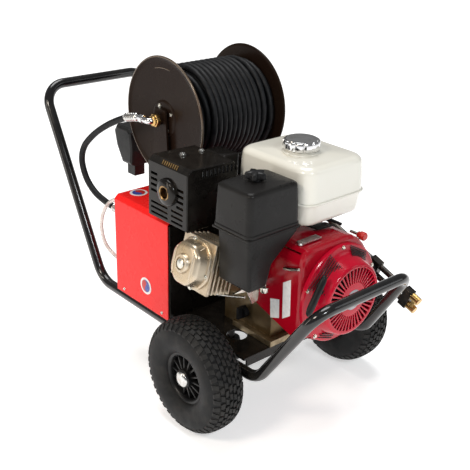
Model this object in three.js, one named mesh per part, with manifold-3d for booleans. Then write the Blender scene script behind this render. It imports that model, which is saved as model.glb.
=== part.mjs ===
// Petrol pressure washer on a two-wheeled tube frame, with a belt-driven pump and a hose reel.
//
// Millimetres, +Z up. The machine is drawn with its axle over y = 0 and the ground at z = 0:
// -X is its left side, -Y its front (bumper and recoil starter), +Y its rear (push handle).
// The finished group is moved along Y so that the origin is under the middle of the machine.

import * as THREE from 'three';
import { mergeVertices } from 'three/addons/utils/BufferGeometryUtils.js';
import Module from 'manifold-3d';

const wasm = await Module();
wasm.setup();

// ---- Driving dimensions -------------------------------------------------------------------

const GAP = 0.3;                    // clearance between parts that touch
const TUBE_R = 12.5;                // frame tube

const WHEEL = { r: 130, width: 88, x: 233, beadR: 58, hubR: 22 };
const AXLE_R = 10;

const RAIL = { x: 167, z: 154.3, frontY: -126.8, rearY: 457.5, joinY: 60 };
const BUMPER = { x: 140, y: -257.5, z: 353.9 };
const HANDLE = { x: 160, y: 713.5, z: 603.9 };
const MID_Y = 228;                  // middle of the machine, from bumper face to handle face

const DECK = { top: 172, thick: 4.9, x: 156, frontY: -73, rearY: 369 };
const COVER = { x: 179.5, frontY: 164, rearY: 372, bottom: 167.4, top: 417, wall: 2 };

const CRANK = { x: 35, z: 304.7 };
const ENGINE = { frontY: -150, coverY: -198, caseFront: -60, caseRear: 96, flangeY: 114, shaftY: 216 };
const HEAD_TILT = THREE.MathUtils.degToRad(15.4);
const HEAD_Y = 42;                  // the cylinder's middle along the crankshaft
const HEAD = { foot: 172, face: 242 };  // from the crankshaft to the cylinder head and rocker cover

const SHROUD = { left: -76, top: 428, r: 118, rearY: -12, wall: 6 };
const GRIP = { x: -65, y: -184, z: 341, lean: THREE.MathUtils.degToRad(30) };
const TANK = { x: [-43, 151], y: [-120, 108] };
const AIR = { x: [-190, -46], y: [-112, 2], seam: 470, top: 566 };
const MUFFLER = { x: [-197, -56], y: [74, 210], z: [424, 560] };

const PUMP = { x: -95, z: 304.7, beltY: 200, pulleyR: 68, drivePulleyR: 34 };

const KNOB_Y = 258;                 // the pressure knob, over the unloader valve

const REEL = { x: 76, y: 346, z: 586, width: 250, flangeR: 146, coreR: 61, hoseR: 121 };

const STAND = { x: 62, y: 214, r: 9, foot: 24 };
const LANCE = { x: 236, y: -96, z: 290, slope: Math.atan(0.371) };

const BOTTLE = { x: [-52, 6], y: [480, 562], z: [398, 524] };
// Stations of the hoses' centre lines, from exit to end.
const LINK_HOSE = [
  [-95, 392, 586], [-98, 412, 583], [-106, 448, 569], [-117, 496, 543], [-127, 540, 510], [-135, 571, 474],
  [-139, 578, 440], [-143, 556, 400], [-145, 515, 373], [-145, 465, 361], [-145, 425, 358], [-145, 387, 358],
];
const DETERGENT_HOSE = [
  [-150, 376, 395], [-154, 394, 392], [-160, 424, 376], [-166, 446, 340], [-168, 452, 300], [-166, 440, 262],
  [-160, 414, 240], [-154, 390, 232], [-150, 376, 230],
];

// ---- Colours ------------------------------------------------------------------------------

const paint = (color, roughness, metalness = 0) =>
  new THREE.MeshStandardMaterial({ color, roughness, metalness });

const BLACK_TUBE = paint(0x121212, 0.25);
const BLACK_SHEET = paint(0x1c1a19, 0.35);
const BLACK_PLASTIC = paint(0x26272a, 0.6);
const RUBBER = paint(0x17181a, 0.85);
const RED_PAINT = paint(0xe8342e, 0.35);
const ENGINE_RED = paint(0xb80c1c, 0.3);
const TANK_WHITE = paint(0xe9e6dc, 0.35);
const CAST_ALU = paint(0xb09a7c, 0.45, 0.8);
const STEEL = paint(0xa8a8a8, 0.35, 1);
const CHROME = paint(0xd8d8d8, 0.12, 1);
const BRASS = paint(0xc79a4a, 0.3, 1);
const RED_PLASTIC = paint(0xb3201c, 0.5);
const CLEAR_PVC = paint(0xe4ded8, 0.2);

// ---- Solids -------------------------------------------------------------------------------

const v3 = (x, y, z) => new THREE.Vector3(x, y, z);

// A closed mesh as a manifold solid: position only, shared corners merged, faces pointing out.
function solid(geometry) {
  const bare = geometry.clone();
  for (const name of Object.keys(bare.attributes)) {
    if (name !== 'position') bare.deleteAttribute(name);
  }
  const merged = mergeVertices(bare, 1e-3);
  const corners = merged.index.array;
  const places = merged.attributes.position.array;
  const triangles = [];
  let volume = 0;
  const corner = (i) => v3(places[3 * i], places[3 * i + 1], places[3 * i + 2]);
  for (let i = 0; i < corners.length; i += 3) {
    const [a, b, c] = corners.slice(i, i + 3);
    if (a === b || b === c || c === a) continue;
    triangles.push([a, b, c]);
    volume += corner(a).dot(corner(b).cross(corner(c)));
  }
  if (volume < 0) triangles.forEach((triangle) => triangle.reverse());
  return new wasm.Manifold(new wasm.Mesh({
    numProp: 3,
    vertProperties: new Float32Array(places),
    triVerts: new Uint32Array(triangles.flat()),
  }));
}

function geometryOf(body) {
  const mesh = body.getMesh();
  const geometry = new THREE.BufferGeometry();
  const places = new Float32Array(mesh.vertProperties);
  geometry.setAttribute('position', new THREE.BufferAttribute(places, 3));
  geometry.setIndex(new THREE.BufferAttribute(new Uint32Array(mesh.triVerts), 1));
  return geometry;
}

const join = (first, ...rest) =>
  geometryOf(rest.reduce((sum, next) => sum.add(solid(next)), solid(first)));

const cut = (first, ...rest) =>
  geometryOf(rest.reduce((left, next) => left.subtract(solid(next)), solid(first)));

function box([x0, x1], [y0, y1], [z0, z1]) {
  const block = new THREE.BoxGeometry(x1 - x0, y1 - y0, z1 - z0);
  return block.translate((x0 + x1) / 2, (y0 + y1) / 2, (z0 + z1) / 2);
}

// Turns geometry drawn along its own Y (lathes and cylinders) to lie along a machine axis.
function alongAxis(geometry, axis) {
  if (axis === 'x') return geometry.rotateZ(-Math.PI / 2);
  if (axis === 'z') return geometry.rotateX(Math.PI / 2);
  return geometry;
}

function rod(axis, radius, from, to, [x, y, z], sides = 16) {
  const length = to - from;
  const stick = new THREE.CylinderGeometry(radius, radius, length, sides);
  stick.translate(0, from + length / 2, 0);
  return alongAxis(stick, axis).translate(x, y, z);
}

// Revolves a closed profile of [radius, height] points around a machine axis.
function turned(axis, profile, [x, y, z], sides = 24) {
  const points = profile.map(([r, h]) => new THREE.Vector2(r, h));
  const first = profile[0];
  const last = profile[profile.length - 1];
  if (first[0] > 0 || last[0] > 0) points.push(points[0].clone());
  return alongAxis(new THREE.LatheGeometry(points, sides), axis).translate(x, y, z);
}

const shapeOf = (corners) => new THREE.Shape(corners.map(([a, b]) => new THREE.Vector2(a, b)));

// Extrudes an outline along X, Y or Z. The outline's two numbers are the other two axes in order:
// (y, z) along X, (x, z) along Y and (x, y) along Z. A bevel takes its size off every outer edge.
function extruded(axis, outline, from, to, bevel = 0, segments = 1) {
  const shape = outline instanceof THREE.Shape ? outline : shapeOf(outline);
  const geometry = new THREE.ExtrudeGeometry(shape, {
    depth: to - from - 2 * bevel,
    bevelEnabled: bevel > 0,
    bevelThickness: bevel,
    bevelSize: bevel,
    bevelOffset: -bevel,
    bevelSegments: segments,
    curveSegments: 4,
  });
  geometry.translate(0, 0, bevel);
  if (axis === 'x') {
    geometry.applyMatrix4(new THREE.Matrix4().makeBasis(v3(0, 1, 0), v3(0, 0, 1), v3(1, 0, 0)));
    return geometry.translate(from, 0, 0);
  }
  if (axis === 'y') return geometry.rotateX(Math.PI / 2).translate(0, to, 0);
  return geometry.translate(0, 0, from);
}

function roundedRectangle([a0, a1], [b0, b1], radius) {
  const shape = new THREE.Shape();
  shape.moveTo(a0 + radius, b0);
  shape.absarc(a1 - radius, b0 + radius, radius, -Math.PI / 2, 0);
  shape.absarc(a1 - radius, b1 - radius, radius, 0, Math.PI / 2);
  shape.absarc(a0 + radius, b1 - radius, radius, Math.PI / 2, Math.PI);
  shape.absarc(a0 + radius, b0 + radius, radius, Math.PI, 1.5 * Math.PI);
  return shape;
}

function regularPolygon(sides, radius, turn = 0) {
  return Array.from({ length: sides }, (_, i) => {
    const angle = turn + (2 * Math.PI * i) / sides;
    return [radius * Math.cos(angle), radius * Math.sin(angle)];
  });
}

// ---- Tubes --------------------------------------------------------------------------------

// A path through given stations, one section at each, square to the path there.
class StationPath extends THREE.Curve {
  constructor(stations) {
    super();
    this.stations = stations;
  }

  station(u) {
    return Math.round(u * (this.stations.length - 1));
  }

  getPointAt(u, target = v3(0, 0, 0)) {
    return target.copy(this.stations[this.station(u)]);
  }

  getTangentAt(u, target = v3(0, 0, 0)) {
    const at = this.station(u);
    const here = this.stations[at];
    const before = this.stations[Math.max(at - 1, 0)];
    const after = this.stations[Math.min(at + 1, this.stations.length - 1)];
    const arriving = here.clone().sub(before).normalize();
    const leaving = after.clone().sub(here).normalize();
    return target.copy(arriving).add(leaving).normalize();
  }
}

function tubeThrough(stations, radius, sides) {
  return new THREE.ExtrudeGeometry(shapeOf(regularPolygon(sides, radius)), {
    steps: stations.length - 1,
    extrudePath: new StationPath(stations),
  });
}

// Straight runs between corners, with each inner corner rounded to its bend radius.
function bentTube(corners, bendRadii, radius, sides = 12, stepsPerBend = 6) {
  const stations = [v3(...corners[0])];
  for (let i = 1; i < corners.length - 1; i += 1) {
    const here = v3(...corners[i]);
    const back = v3(...corners[i - 1]).sub(here).normalize();
    const ahead = v3(...corners[i + 1]).sub(here).normalize();
    const half = back.angleTo(ahead) / 2;
    const bend = bendRadii[i - 1];
    const inward = back.clone().add(ahead).normalize();
    const centre = here.clone().addScaledVector(inward, bend / Math.sin(half));
    const start = here.clone().addScaledVector(back, bend / Math.tan(half)).sub(centre);
    const end = here.clone().addScaledVector(ahead, bend / Math.tan(half)).sub(centre);
    const sweep = start.angleTo(end);
    for (let k = 0; k <= stepsPerBend; k += 1) {
      const t = k / stepsPerBend;
      const from = start.clone().multiplyScalar(Math.sin((1 - t) * sweep) / Math.sin(sweep));
      stations.push(from.addScaledVector(end, Math.sin(t * sweep) / Math.sin(sweep)).add(centre));
    }
  }
  stations.push(v3(...corners[corners.length - 1]));
  return tubeThrough(stations, radius, sides);
}

// A hose along a smooth curve through hand-placed points.
function hose(points, radius, sides, steps) {
  const curve = new THREE.CatmullRomCurve3(points.map((p) => v3(...p)), false, 'centripetal');
  return tubeThrough(curve.getSpacedPoints(steps), radius, sides);
}

// ---- The assembly -------------------------------------------------------------------------

const washer = new THREE.Group();
washer.position.y = -MID_Y;

function part(parent, name, geometry, material, placed = {}) {
  const mesh = new THREE.Mesh(geometryOf(solid(geometry)), material);
  mesh.name = name;
  mesh.position.set(...(placed.at ?? [0, 0, 0]));
  mesh.rotation.set(...(placed.turned ?? [0, 0, 0]));
  parent.add(mesh);
  return mesh;
}

// ---- Frame, deck, axle and stand ----------------------------------------------------------

function buildFrame() {
  const front = bentTube([
    [-RAIL.x, RAIL.joinY - GAP / 2, RAIL.z],
    [-RAIL.x, RAIL.frontY, RAIL.z],
    [-BUMPER.x, BUMPER.y, BUMPER.z],
    [BUMPER.x, BUMPER.y, BUMPER.z],
    [RAIL.x, RAIL.frontY, RAIL.z],
    [RAIL.x, RAIL.joinY - GAP / 2, RAIL.z],
  ], [55, 45, 45, 55], TUBE_R);
  part(washer, 'front_frame_tube', front, BLACK_TUBE);

  const rear = bentTube([
    [-RAIL.x, RAIL.joinY + GAP / 2, RAIL.z],
    [-RAIL.x, RAIL.rearY, RAIL.z],
    [-HANDLE.x, HANDLE.y, HANDLE.z],
    [HANDLE.x, HANDLE.y, HANDLE.z],
    [RAIL.x, RAIL.rearY, RAIL.z],
    [RAIL.x, RAIL.joinY + GAP / 2, RAIL.z],
  ], [70, 58, 58, 70], TUBE_R);
  part(washer, 'rear_frame_tube', rear, BLACK_TUBE);

  const plate = box([-DECK.x, DECK.x], [DECK.frontY, DECK.rearY], [DECK.top - DECK.thick, DECK.top]);
  const lip = box([-148, 148], [DECK.frontY, DECK.frontY + 4], [150, DECK.top - 1]);
  const lightening = rod('z', 23.5, 140, 180, [-100, 14, 0], 20);
  part(washer, 'deck_plate', cut(join(plate, lip), lightening), BLACK_SHEET);

  const railBottom = RAIL.z - TUBE_R - GAP;
  const saddle = (x) => box([x - 5, x + 5], [-24, 24], [WHEEL.r - 16, railBottom]);
  const shaft = rod('x', AXLE_R, -WHEEL.x - 30, WHEEL.x + 30, [0, 0, WHEEL.r]);
  part(washer, 'axle', join(shaft, saddle(-RAIL.x), saddle(RAIL.x)), BLACK_SHEET);
}

function buildStand() {
  const top = DECK.top - DECK.thick - GAP;
  const flange = box([-STAND.x - 16, STAND.x + 16], [STAND.y - 18, STAND.y + 18], [top - 5, top]);
  const leg = (x) => rod('z', STAND.r, 12 + GAP, top - 1, [x, STAND.y, 0], 12);
  part(washer, 'rear_stand', join(flange, leg(-STAND.x), leg(STAND.x)), BLACK_SHEET);
  for (const [side, x] of [['left', -STAND.x], ['right', STAND.x]]) {
    const profile = [[0, 0], [STAND.foot - 4, 0], [STAND.foot, 4], [STAND.foot - 2, 12], [0, 12]];
    part(washer, `stand_foot_${side}`, turned('z', profile, [x, STAND.y, 0], 16), RUBBER);
  }
}

// ---- Wheels -------------------------------------------------------------------------------

function buildWheel(side, sign) {
  const wheel = new THREE.Group();
  wheel.position.set(sign * WHEEL.x, 0, WHEEL.r);
  const half = WHEEL.width / 2;
  const bead = WHEEL.beadR;
  const shoulder = [[bead, 28], [88, half], [115, half - 3], [126.5, half - 17], [WHEEL.r, half - 33]];
  const tyre = [...shoulder, ...shoulder.map(([r, h]) => [r, -h]).reverse()];
  part(wheel, `${side}_tyre`, turned('x', tyre, [0, 0, 0], 40), RUBBER);

  const rimR = bead - 0.5;
  const rim = [
    [AXLE_R + 0.35, -33], [WHEEL.hubR, -33], [WHEEL.hubR, -6], [rimR - 8, -6], [rimR - 8, -27], [rimR, -27],
    [rimR, 27], [rimR - 8, 27], [rimR - 8, 6], [WHEEL.hubR, 6], [WHEEL.hubR, 33], [AXLE_R + 0.35, 33],
  ];
  part(wheel, `${side}_rim`, turned('x', rim, [0, 0, 0], 24), BLACK_PLASTIC);
  washer.add(wheel);
}

// ---- Engine -------------------------------------------------------------------------------

// A group whose +X points out along the cylinder, from the crankshaft's axis.
function cylinderGroup() {
  const group = new THREE.Group();
  group.position.set(CRANK.x, HEAD_Y, CRANK.z);
  group.rotation.y = Math.PI + HEAD_TILT;
  washer.add(group);
  return group;
}

function buildCrankcase() {
  const { x, z } = CRANK;
  const feet = box([-80, 137], [-74, 52], [DECK.top + GAP, 186]);
  const sump = box([-66, 132], [-58, ENGINE.caseRear], [DECK.top + GAP, 300]);
  const drum = rod('y', 96, ENGINE.caseFront, ENGINE.caseRear, [x, 0, z], 28);
  const ends = rod('y', 70, ENGINE.caseRear - 1, ENGINE.flangeY, [x, 0, z], 24);
  const cos = Math.cos(HEAD_TILT);
  const sin = Math.sin(HEAD_TILT);
  const out = (a, b) => [x - a * cos - b * sin, z + a * sin - b * cos];
  const side = [out(20, 48), out(HEAD.foot, 48), out(HEAD.foot, -48), out(20, -48)];
  const barrel = extruded('y', side, HEAD_Y - 50, HEAD_Y + 50);
  const bore = rod('y', 19.6, -80, 130, [x, 0, z], 20);
  const body = cut(join(feet, sump, drum, ends, barrel), bore);
  part(washer, 'crankcase', body, CAST_ALU);
}

function buildCylinder() {
  const group = cylinderGroup();
  const { foot, face } = HEAD;
  const core = box([foot + GAP, face - 1], [-40, 40], [-40, 40]);
  const fins = [4, 16, 28, 40, 52].map((out) => box([foot + out, foot + out + 4], [-52, 52], [-54, 54]));
  const flange = box([face - 8, face - GAP], [-52, 52], [-56, 56]);
  part(group, 'cylinder_head', join(core, ...fins, flange), CAST_ALU);

  const corner = 26;
  const w = 50;
  const h = 54;
  const octagon = [
    [-w + corner, -h], [w - corner, -h], [w, -h + corner], [w, h - corner],
    [w - corner, h], [-w + corner, h], [-w, h - corner], [-w, -h + corner],
  ];
  const cover = extruded('x', octagon, face, face + 37, 7, 2);
  const boss = rod('x', 21, face + 25, face + 43, [0, 0, 0], 20);
  const dish = rod('x', 13, face + 37, face + 50, [0, 0, 0], 16);
  part(group, 'rocker_cover', cut(join(cover, boss), dish), CAST_ALU);
}

function buildCrankshaft() {
  const { x, z } = CRANK;
  const profile = [
    [0, -128], [10, -128], [10, -96], [19, -90],
    [19, 110], [12.7, 116], [12.7, ENGINE.shaftY], [0, ENGINE.shaftY],
  ];
  part(washer, 'crankshaft', turned('y', profile, [x, 0, z], 16), STEEL);

  const blades = 12;
  const outline = [];
  for (let i = 0; i < blades; i += 1) {
    const step = (2 * Math.PI) / blades;
    const at = (r, turn) => [x + r * Math.cos(step * i + turn), z + r * Math.sin(step * i + turn)];
    outline.push(at(62, 0), at(94, 0.12), at(94, 0.2), at(62, 0.24));
  }
  const fan = extruded('y', outline, -142, -118);
  const disc = rod('y', 94, -119, -100, [x, 0, z], 28);
  const hub = rod('y', 10 + GAP, -150, -90, [x, 0, z], 20);
  part(washer, 'flywheel', cut(join(fan, disc), hub), STEEL);
}

function buildShroud() {
  const { x, z } = CRANK;
  const { left, top, r, rearY, wall } = SHROUD;
  const outline = new THREE.Shape();
  const start = THREE.MathUtils.degToRad(38);
  const end = THREE.MathUtils.degToRad(-126);
  outline.moveTo(left, 224);
  outline.lineTo(left, top - 30);
  outline.quadraticCurveTo(left, top, left + 30, top);
  outline.lineTo(62, top);
  outline.quadraticCurveTo(98, top - 4, x + r * Math.cos(start), z + r * Math.sin(start));
  outline.absarc(x, z, r, start, end, true);
  const shell = extruded('y', outline, ENGINE.frontY, rearY, 8, 2);
  const chamber = rod('y', 104, -170, 0, [x, 0, z], 36);
  const duct = box([left + wall, 40], [ENGINE.frontY + 12, 0], [326, top - 8]);
  const behindFan = box([left + wall, x + r + 10], [ENGINE.caseFront - 4, 0], [180, top - wall]);
  const undercut = extruded('x', [[-160, 190], [0, 190], [0, 266], [-160, 216]], left - 5, left + 42);
  part(washer, 'fan_shroud', cut(shell, chamber, duct, behindFan, undercut), ENGINE_RED);
}

function buildRecoil() {
  const { x, z } = CRANK;
  const back = ENGINE.frontY - GAP;
  const front = ENGINE.coverY;
  const profile = [
    [0, front], [76, front], [81, front + 4], [89, -168], [96, -161], [112, -157], [112, back],
    [100, back], [100, -153], [90, -158], [83, -166], [75, front + 6], [0, front + 6],
  ];
  const shell = turned('y', profile, [x, 0, z], 36);
  const slots = 20;
  const cutters = [];
  for (let i = 0; i < slots; i += 1) {
    const slot = box([40, 72], [front - 5, front + 10], [-3.2, 3.2]);
    slot.rotateY((2 * Math.PI * (i + 0.5)) / slots);
    cutters.push(slot.translate(x, 0, z));
  }
  part(washer, 'recoil_cover', cut(shell, ...cutters), ENGINE_RED);

  // The rope pulley turns with the grip's pull; its rope leaves it level with the grip.
  const pulley = [
    [8, -177], [62, -177], [62, -175], [55, -174],
    [55, -169], [62, -168], [62, -166], [8, -166],
  ];
  part(washer, 'recoil_pulley', turned('y', pulley, [x, 0, z], 24), BLACK_PLASTIC);

  const grip = new THREE.Group();
  grip.position.set(GRIP.x, GRIP.y, GRIP.z);
  grip.rotation.y = GRIP.lean;
  washer.add(grip);
  const bar = roundedRectangle([-46, 46], [-9, 9], 8.5);
  const handle = extruded('y', bar, -8, 8, 4, 1);
  handle.rotateY(Math.PI / 2);
  part(grip, 'starter_grip', handle, BLACK_PLASTIC);
}

function buildTank() {
  const outline = (inset, radius) =>
    roundedRectangle([TANK.x[0] + inset, TANK.x[1] - inset], [TANK.y[0] + inset, TANK.y[1] - inset], radius);
  const lower = extruded('z', outline(5, 26), 452, 506, 14, 2);
  const upper = extruded('z', outline(2, 32), 500, 588, 13, 2);
  const seam = extruded('z', outline(0, 32), 502, 506);
  const neck = rod('z', 33, 580, 594, [CRANK.x, -21.5, 0], 24);
  part(washer, 'fuel_tank', join(lower, upper, seam, neck), TANK_WHITE);

  const flutes = 12;
  const outlinePoints = [];
  for (let i = 0; i < flutes; i += 1) {
    const at = (r, k) => {
      const angle = (2 * Math.PI * (i + k)) / flutes;
      return [r * Math.cos(angle), r * Math.sin(angle)];
    };
    outlinePoints.push(at(40, 0), at(40, 0.55), at(36.5, 0.68), at(36.5, 0.87));
  }
  const crown = extruded('z', outlinePoints, 594 + GAP, 612);
  const dome = turned('z', [[0, 606], [35, 606], [35, 613], [28, 616], [0, 616.5]], [0, 0, 0], 24);
  part(washer, 'fuel_cap', join(crown, dome), CHROME, { at: [CRANK.x, -21.5, 0] });
}

function buildAirCleaner() {
  const shape = roundedRectangle(AIR.x, AIR.y, 14);
  const lid = extruded('z', shape, AIR.seam + GAP, AIR.top, 7, 2);
  const within = ([from, to]) => [from + 10, to - 10];
  const hollow = box(within(AIR.x), within(AIR.y), [AIR.seam - 9, AIR.top - 12]);
  part(washer, 'air_cleaner_cover', cut(lid, hollow), BLACK_PLASTIC);

  const profile = [
    [AIR.x[0] + 2, AIR.seam], [AIR.x[1] - 2, AIR.seam], [AIR.x[1] - 6, 456],
    [-122, 400], [-136, 352], [-184, 352],
  ];
  const elbow = extruded('y', profile, AIR.y[0] + 2, HEAD_Y - 55, 3, 1);
  part(washer, 'air_cleaner_elbow', elbow, BLACK_PLASTIC);

  const filter = extruded('z', roundedRectangle([-174, -68], [-96, -14], 20), AIR.seam + GAP, AIR.top - 16);
  part(washer, 'air_filter', filter, paint(0x6d6a60, 0.9));
}

function buildMuffler() {
  const { x: [x0, x1], y: [y0, y1], z: [z0, z1] } = MUFFLER;
  const outline = [
    [x0, z0 + 4], [x0 + 4, z0], [x1, z0], [x1, z1 - 16], [x1 - 14, z1], [x0 + 13, z1 + 3], [x0 + 1, z1 - 8],
  ];
  const shell = extruded('y', outline, y0, y1, 2, 1);
  const hollow = box([x0 + 5, x1 - 4], [y0 + 5, y1 - 5], [z0 + 5, z1 - 20]);
  const cutters = [hollow];
  const left = (ya, yb, za, zb) => box([x0 - 10, x0 + 8], [ya, yb], [za, zb]);
  for (let i = 0; i < 4; i += 1) {
    cutters.push(left(y1 - 34, y1 - 10, z1 - 30 - 13 * i - 6, z1 - 30 - 13 * i));
    cutters.push(left(y0 + 12, y0 + 36, z1 - 44 - 13 * i - 6, z1 - 44 - 13 * i));
  }
  for (let i = 0; i < 3; i += 1) {
    cutters.push(left(y0 + 14, y0 + 54, z0 + 10 + 12 * i, z0 + 15 + 12 * i));
    cutters.push(left(y0 + 66, y1 - 10, z0 + 10 + 12 * i, z0 + 15 + 12 * i));
  }
  for (let i = 0; i < 9; i += 1) {
    cutters.push(box([x0 + 42 + 11 * i, x0 + 47 + 11 * i], [y0 - 5, y0 + 8], [z1 - 22, z1 - 6]));
  }
  const port = rod('x', 27, x0 - 10, x0 + 10, [0, 140, 498], 20);
  cutters.push(port);
  part(washer, 'muffler_shield', cut(shell, ...cutters), BLACK_SHEET);

  const can = extruded('x', roundedRectangle([y0 + 14, y1 - 14], [z0 + 12, z1 - 26], 26), x0 + 14, x1 - 10);
  const pipe = rod('x', 20, x0 - 6, x0 + 16, [0, 140, 498], 20);
  const throat = rod('x', 14, x0 - 10, x0 + 6, [0, 140, 498], 16);
  part(washer, 'muffler', cut(join(can, pipe), throat), paint(0x4a423c, 0.5, 0.8));
}

function buildEngineFittings() {
  const bowl = rod('z', 17, 326, 346, [-102, -34, 0], 14);
  const throat = rod('y', 15, -60, -11, [-102, 0, 362], 14);
  const carburettor = join(box([-118, -86], [-52, -16], [342, 382]), bowl, throat);
  part(washer, 'carburettor', carburettor, CAST_ALU);

  const lever = join(box([-4, 52], [-9, 9], [-1.5, 1.5]), rod('z', 8, -4, 1, [0, 0, 0], 12));
  part(washer, 'throttle_lever', lever, STEEL, { at: [-50, -118, SHROUD.top + 4 + GAP] });

  const plug = join(rod('x', 14, -78, -66 - GAP, [0, 0, 0], 12), box([-90, -77], [-3, 3], [-14, 14]));
  part(washer, 'oil_filler_plug', plug, BLACK_PLASTIC, { at: [0, 26, 216] });
}

// ---- Pump, belt drive and covers ----------------------------------------------------------

function pulleyProfile(radius, bore) {
  const groove = radius - 9;
  return [
    [bore, -13], [radius, -13], [radius, -10], [groove, -5],
    [groove, 5], [radius, 10], [radius, 13], [bore, 13],
  ];
}

function buildDrive() {
  const drive = turned('y', pulleyProfile(PUMP.drivePulleyR, 12.7 + GAP), [0, 0, 0], 24);
  part(washer, 'engine_pulley', drive, STEEL, { at: [CRANK.x, PUMP.beltY, CRANK.z] });

  const driven = turned('y', pulleyProfile(PUMP.pulleyR, 12), [0, 0, 0], 32);
  const pumpShaft = rod('y', 14, -15, 219 - GAP - PUMP.beltY, [0, 0, 0], 16);
  part(washer, 'pump_pulley', join(driven, pumpShaft), STEEL, { at: [PUMP.x, PUMP.beltY, PUMP.z] });

  // The belt is a stadium of two unequal arcs that runs half out of both grooves.
  const ride = -3;
  const span = CRANK.x - PUMP.x;
  const lean = Math.asin((PUMP.pulleyR - PUMP.drivePulleyR) / span);
  const loop = (offset, shape) => {
    shape.absarc(0, 0, PUMP.pulleyR + ride + offset, Math.PI / 2 - lean, 1.5 * Math.PI + lean, false);
    shape.absarc(span, 0, PUMP.drivePulleyR + ride + offset, -Math.PI / 2 + lean, Math.PI / 2 - lean, false);
    return shape;
  };
  const outline = loop(5, new THREE.Shape());
  outline.holes.push(loop(-1, new THREE.Path()));
  const belt = new THREE.ExtrudeGeometry(outline, { depth: 6, bevelEnabled: false, curveSegments: 12 });
  belt.rotateX(Math.PI / 2).translate(0, 3, 0);
  part(washer, 'drive_belt', belt, RUBBER, { at: [PUMP.x, PUMP.beltY, PUMP.z] });
}

function buildPump() {
  const { x, z } = PUMP;
  const body = extruded('x', roundedRectangle([232, 352], [z - 62, z + 52], 16), -158, -34);
  const nose = rod('y', 34, 219, 234, [x, 0, z], 20);
  const seat = box([-150, -42], [240, 344], [DECK.top + GAP, z - 58]);
  part(washer, 'pump_crankcase', join(body, nose, seat), CAST_ALU);

  const block = box([-34 + GAP, 26], [236, 348], [z - 44, z + 34]);
  const valves = [258, 292, 326].map((y) => rod('x', 13, 25, 34, [0, y, z + 12], 6));
  part(washer, 'pump_manifold', join(block, ...valves), BRASS);

  const valveBody = box([-28, 16], [238, 278], [z + 34 + GAP, z + 62]);
  const stem = rod('z', 9, z + 61, z + 72, [-6, KNOB_Y, 0], 12);
  part(washer, 'unloader_valve', join(valveBody, stem), BRASS);

  const knob = turned('z', [[0, 0], [19, 0], [21, 3], [21, 16], [17, 20], [0, 20]], [0, 0, 0], 16);
  part(washer, 'pressure_knob', knob, RED_PLASTIC, { at: [-6, KNOB_Y, z + 72 + GAP] });

  const union = join(rod('y', 11, 356, 386, [0, 0, 0], 12), rod('y', 15, 372 + GAP, 384, [0, 0, 0], 6));
  part(washer, 'pressure_outlet', union, BRASS, { at: [-145, 0, 358] });
  const inletBarb = join(rod('y', 13, 352, 392, [0, 0, 0], 12), rod('y', 18, 372 + GAP, 380, [0, 0, 0], 6));
  part(washer, 'water_inlet', inletBarb, BRASS, { at: [96, 0, 232] });
}

function buildCovers() {
  const { x, frontY, rearY, bottom, top, wall } = COVER;
  const shoulder = 10;
  const outline = (d) => [
    [-x + d, bottom - 4 * d], [-x + d, top - shoulder], [-x + shoulder, top - d],
    [x - shoulder, top - d], [x - d, top - shoulder], [x - d, bottom - 4 * d],
  ];
  const shell = extruded('y', outline(0), frontY, rearY);
  const inside = extruded('y', outline(wall), frontY - 5, rearY - wall);
  const outletHole = rod('y', 11.5, rearY - 10, rearY + 10, [-145, 0, 358], 16);
  const inletHole = rod('y', 13.5, rearY - 10, rearY + 10, [96, 0, 232], 16);
  const knobHole = rod('z', 26, top - 10, top + 10, [-6, KNOB_Y, 0], 20);
  part(washer, 'pump_cover', cut(shell, inside, outletHole, inletHole, knobHole), RED_PAINT);

  const panelX = x - wall - 1;
  const panel = box([-panelX, panelX], [frontY - 4, frontY + 12], [DECK.top + GAP, top - shoulder - 2]);
  const face = box([-panelX + 2, panelX - 2], [frontY - 1, frontY + 20], [DECK.top - 5, top - shoulder - 5]);
  const shaftHole = rod('y', 30, frontY - 20, frontY + 20, [CRANK.x, 0, CRANK.z], 20);
  part(washer, 'bulkhead', cut(cut(panel, face), shaftHole), BLACK_SHEET);
}

// ---- Hose reel ----------------------------------------------------------------------------

function buildReelStand() {
  const { x, y, z, width } = REEL;
  const armX = [x - width / 2 - 14, x + width / 2 + 9];
  const seat = box([armX[0], armX[1] + 5], [y - 60, y + 44], [COVER.top + GAP, COVER.top + 5]);
  part(washer, 'reel_base', seat, BLACK_SHEET);
  for (const [side, left] of [['left', armX[0]], ['right', armX[1]]]) {
    const foot = COVER.top + 5 + GAP;
    const plate = [[y - 34, foot], [y + 34, foot], [y + 20, z + 24], [y - 20, z + 24]];
    const arm = extruded('x', plate, left, left + 5);
    const bearing = rod('x', 13.5, left - 10, left + 20, [0, y, z], 20);
    part(washer, `reel_arm_${side}`, cut(arm, bearing), BLACK_SHEET);
  }
}

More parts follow.
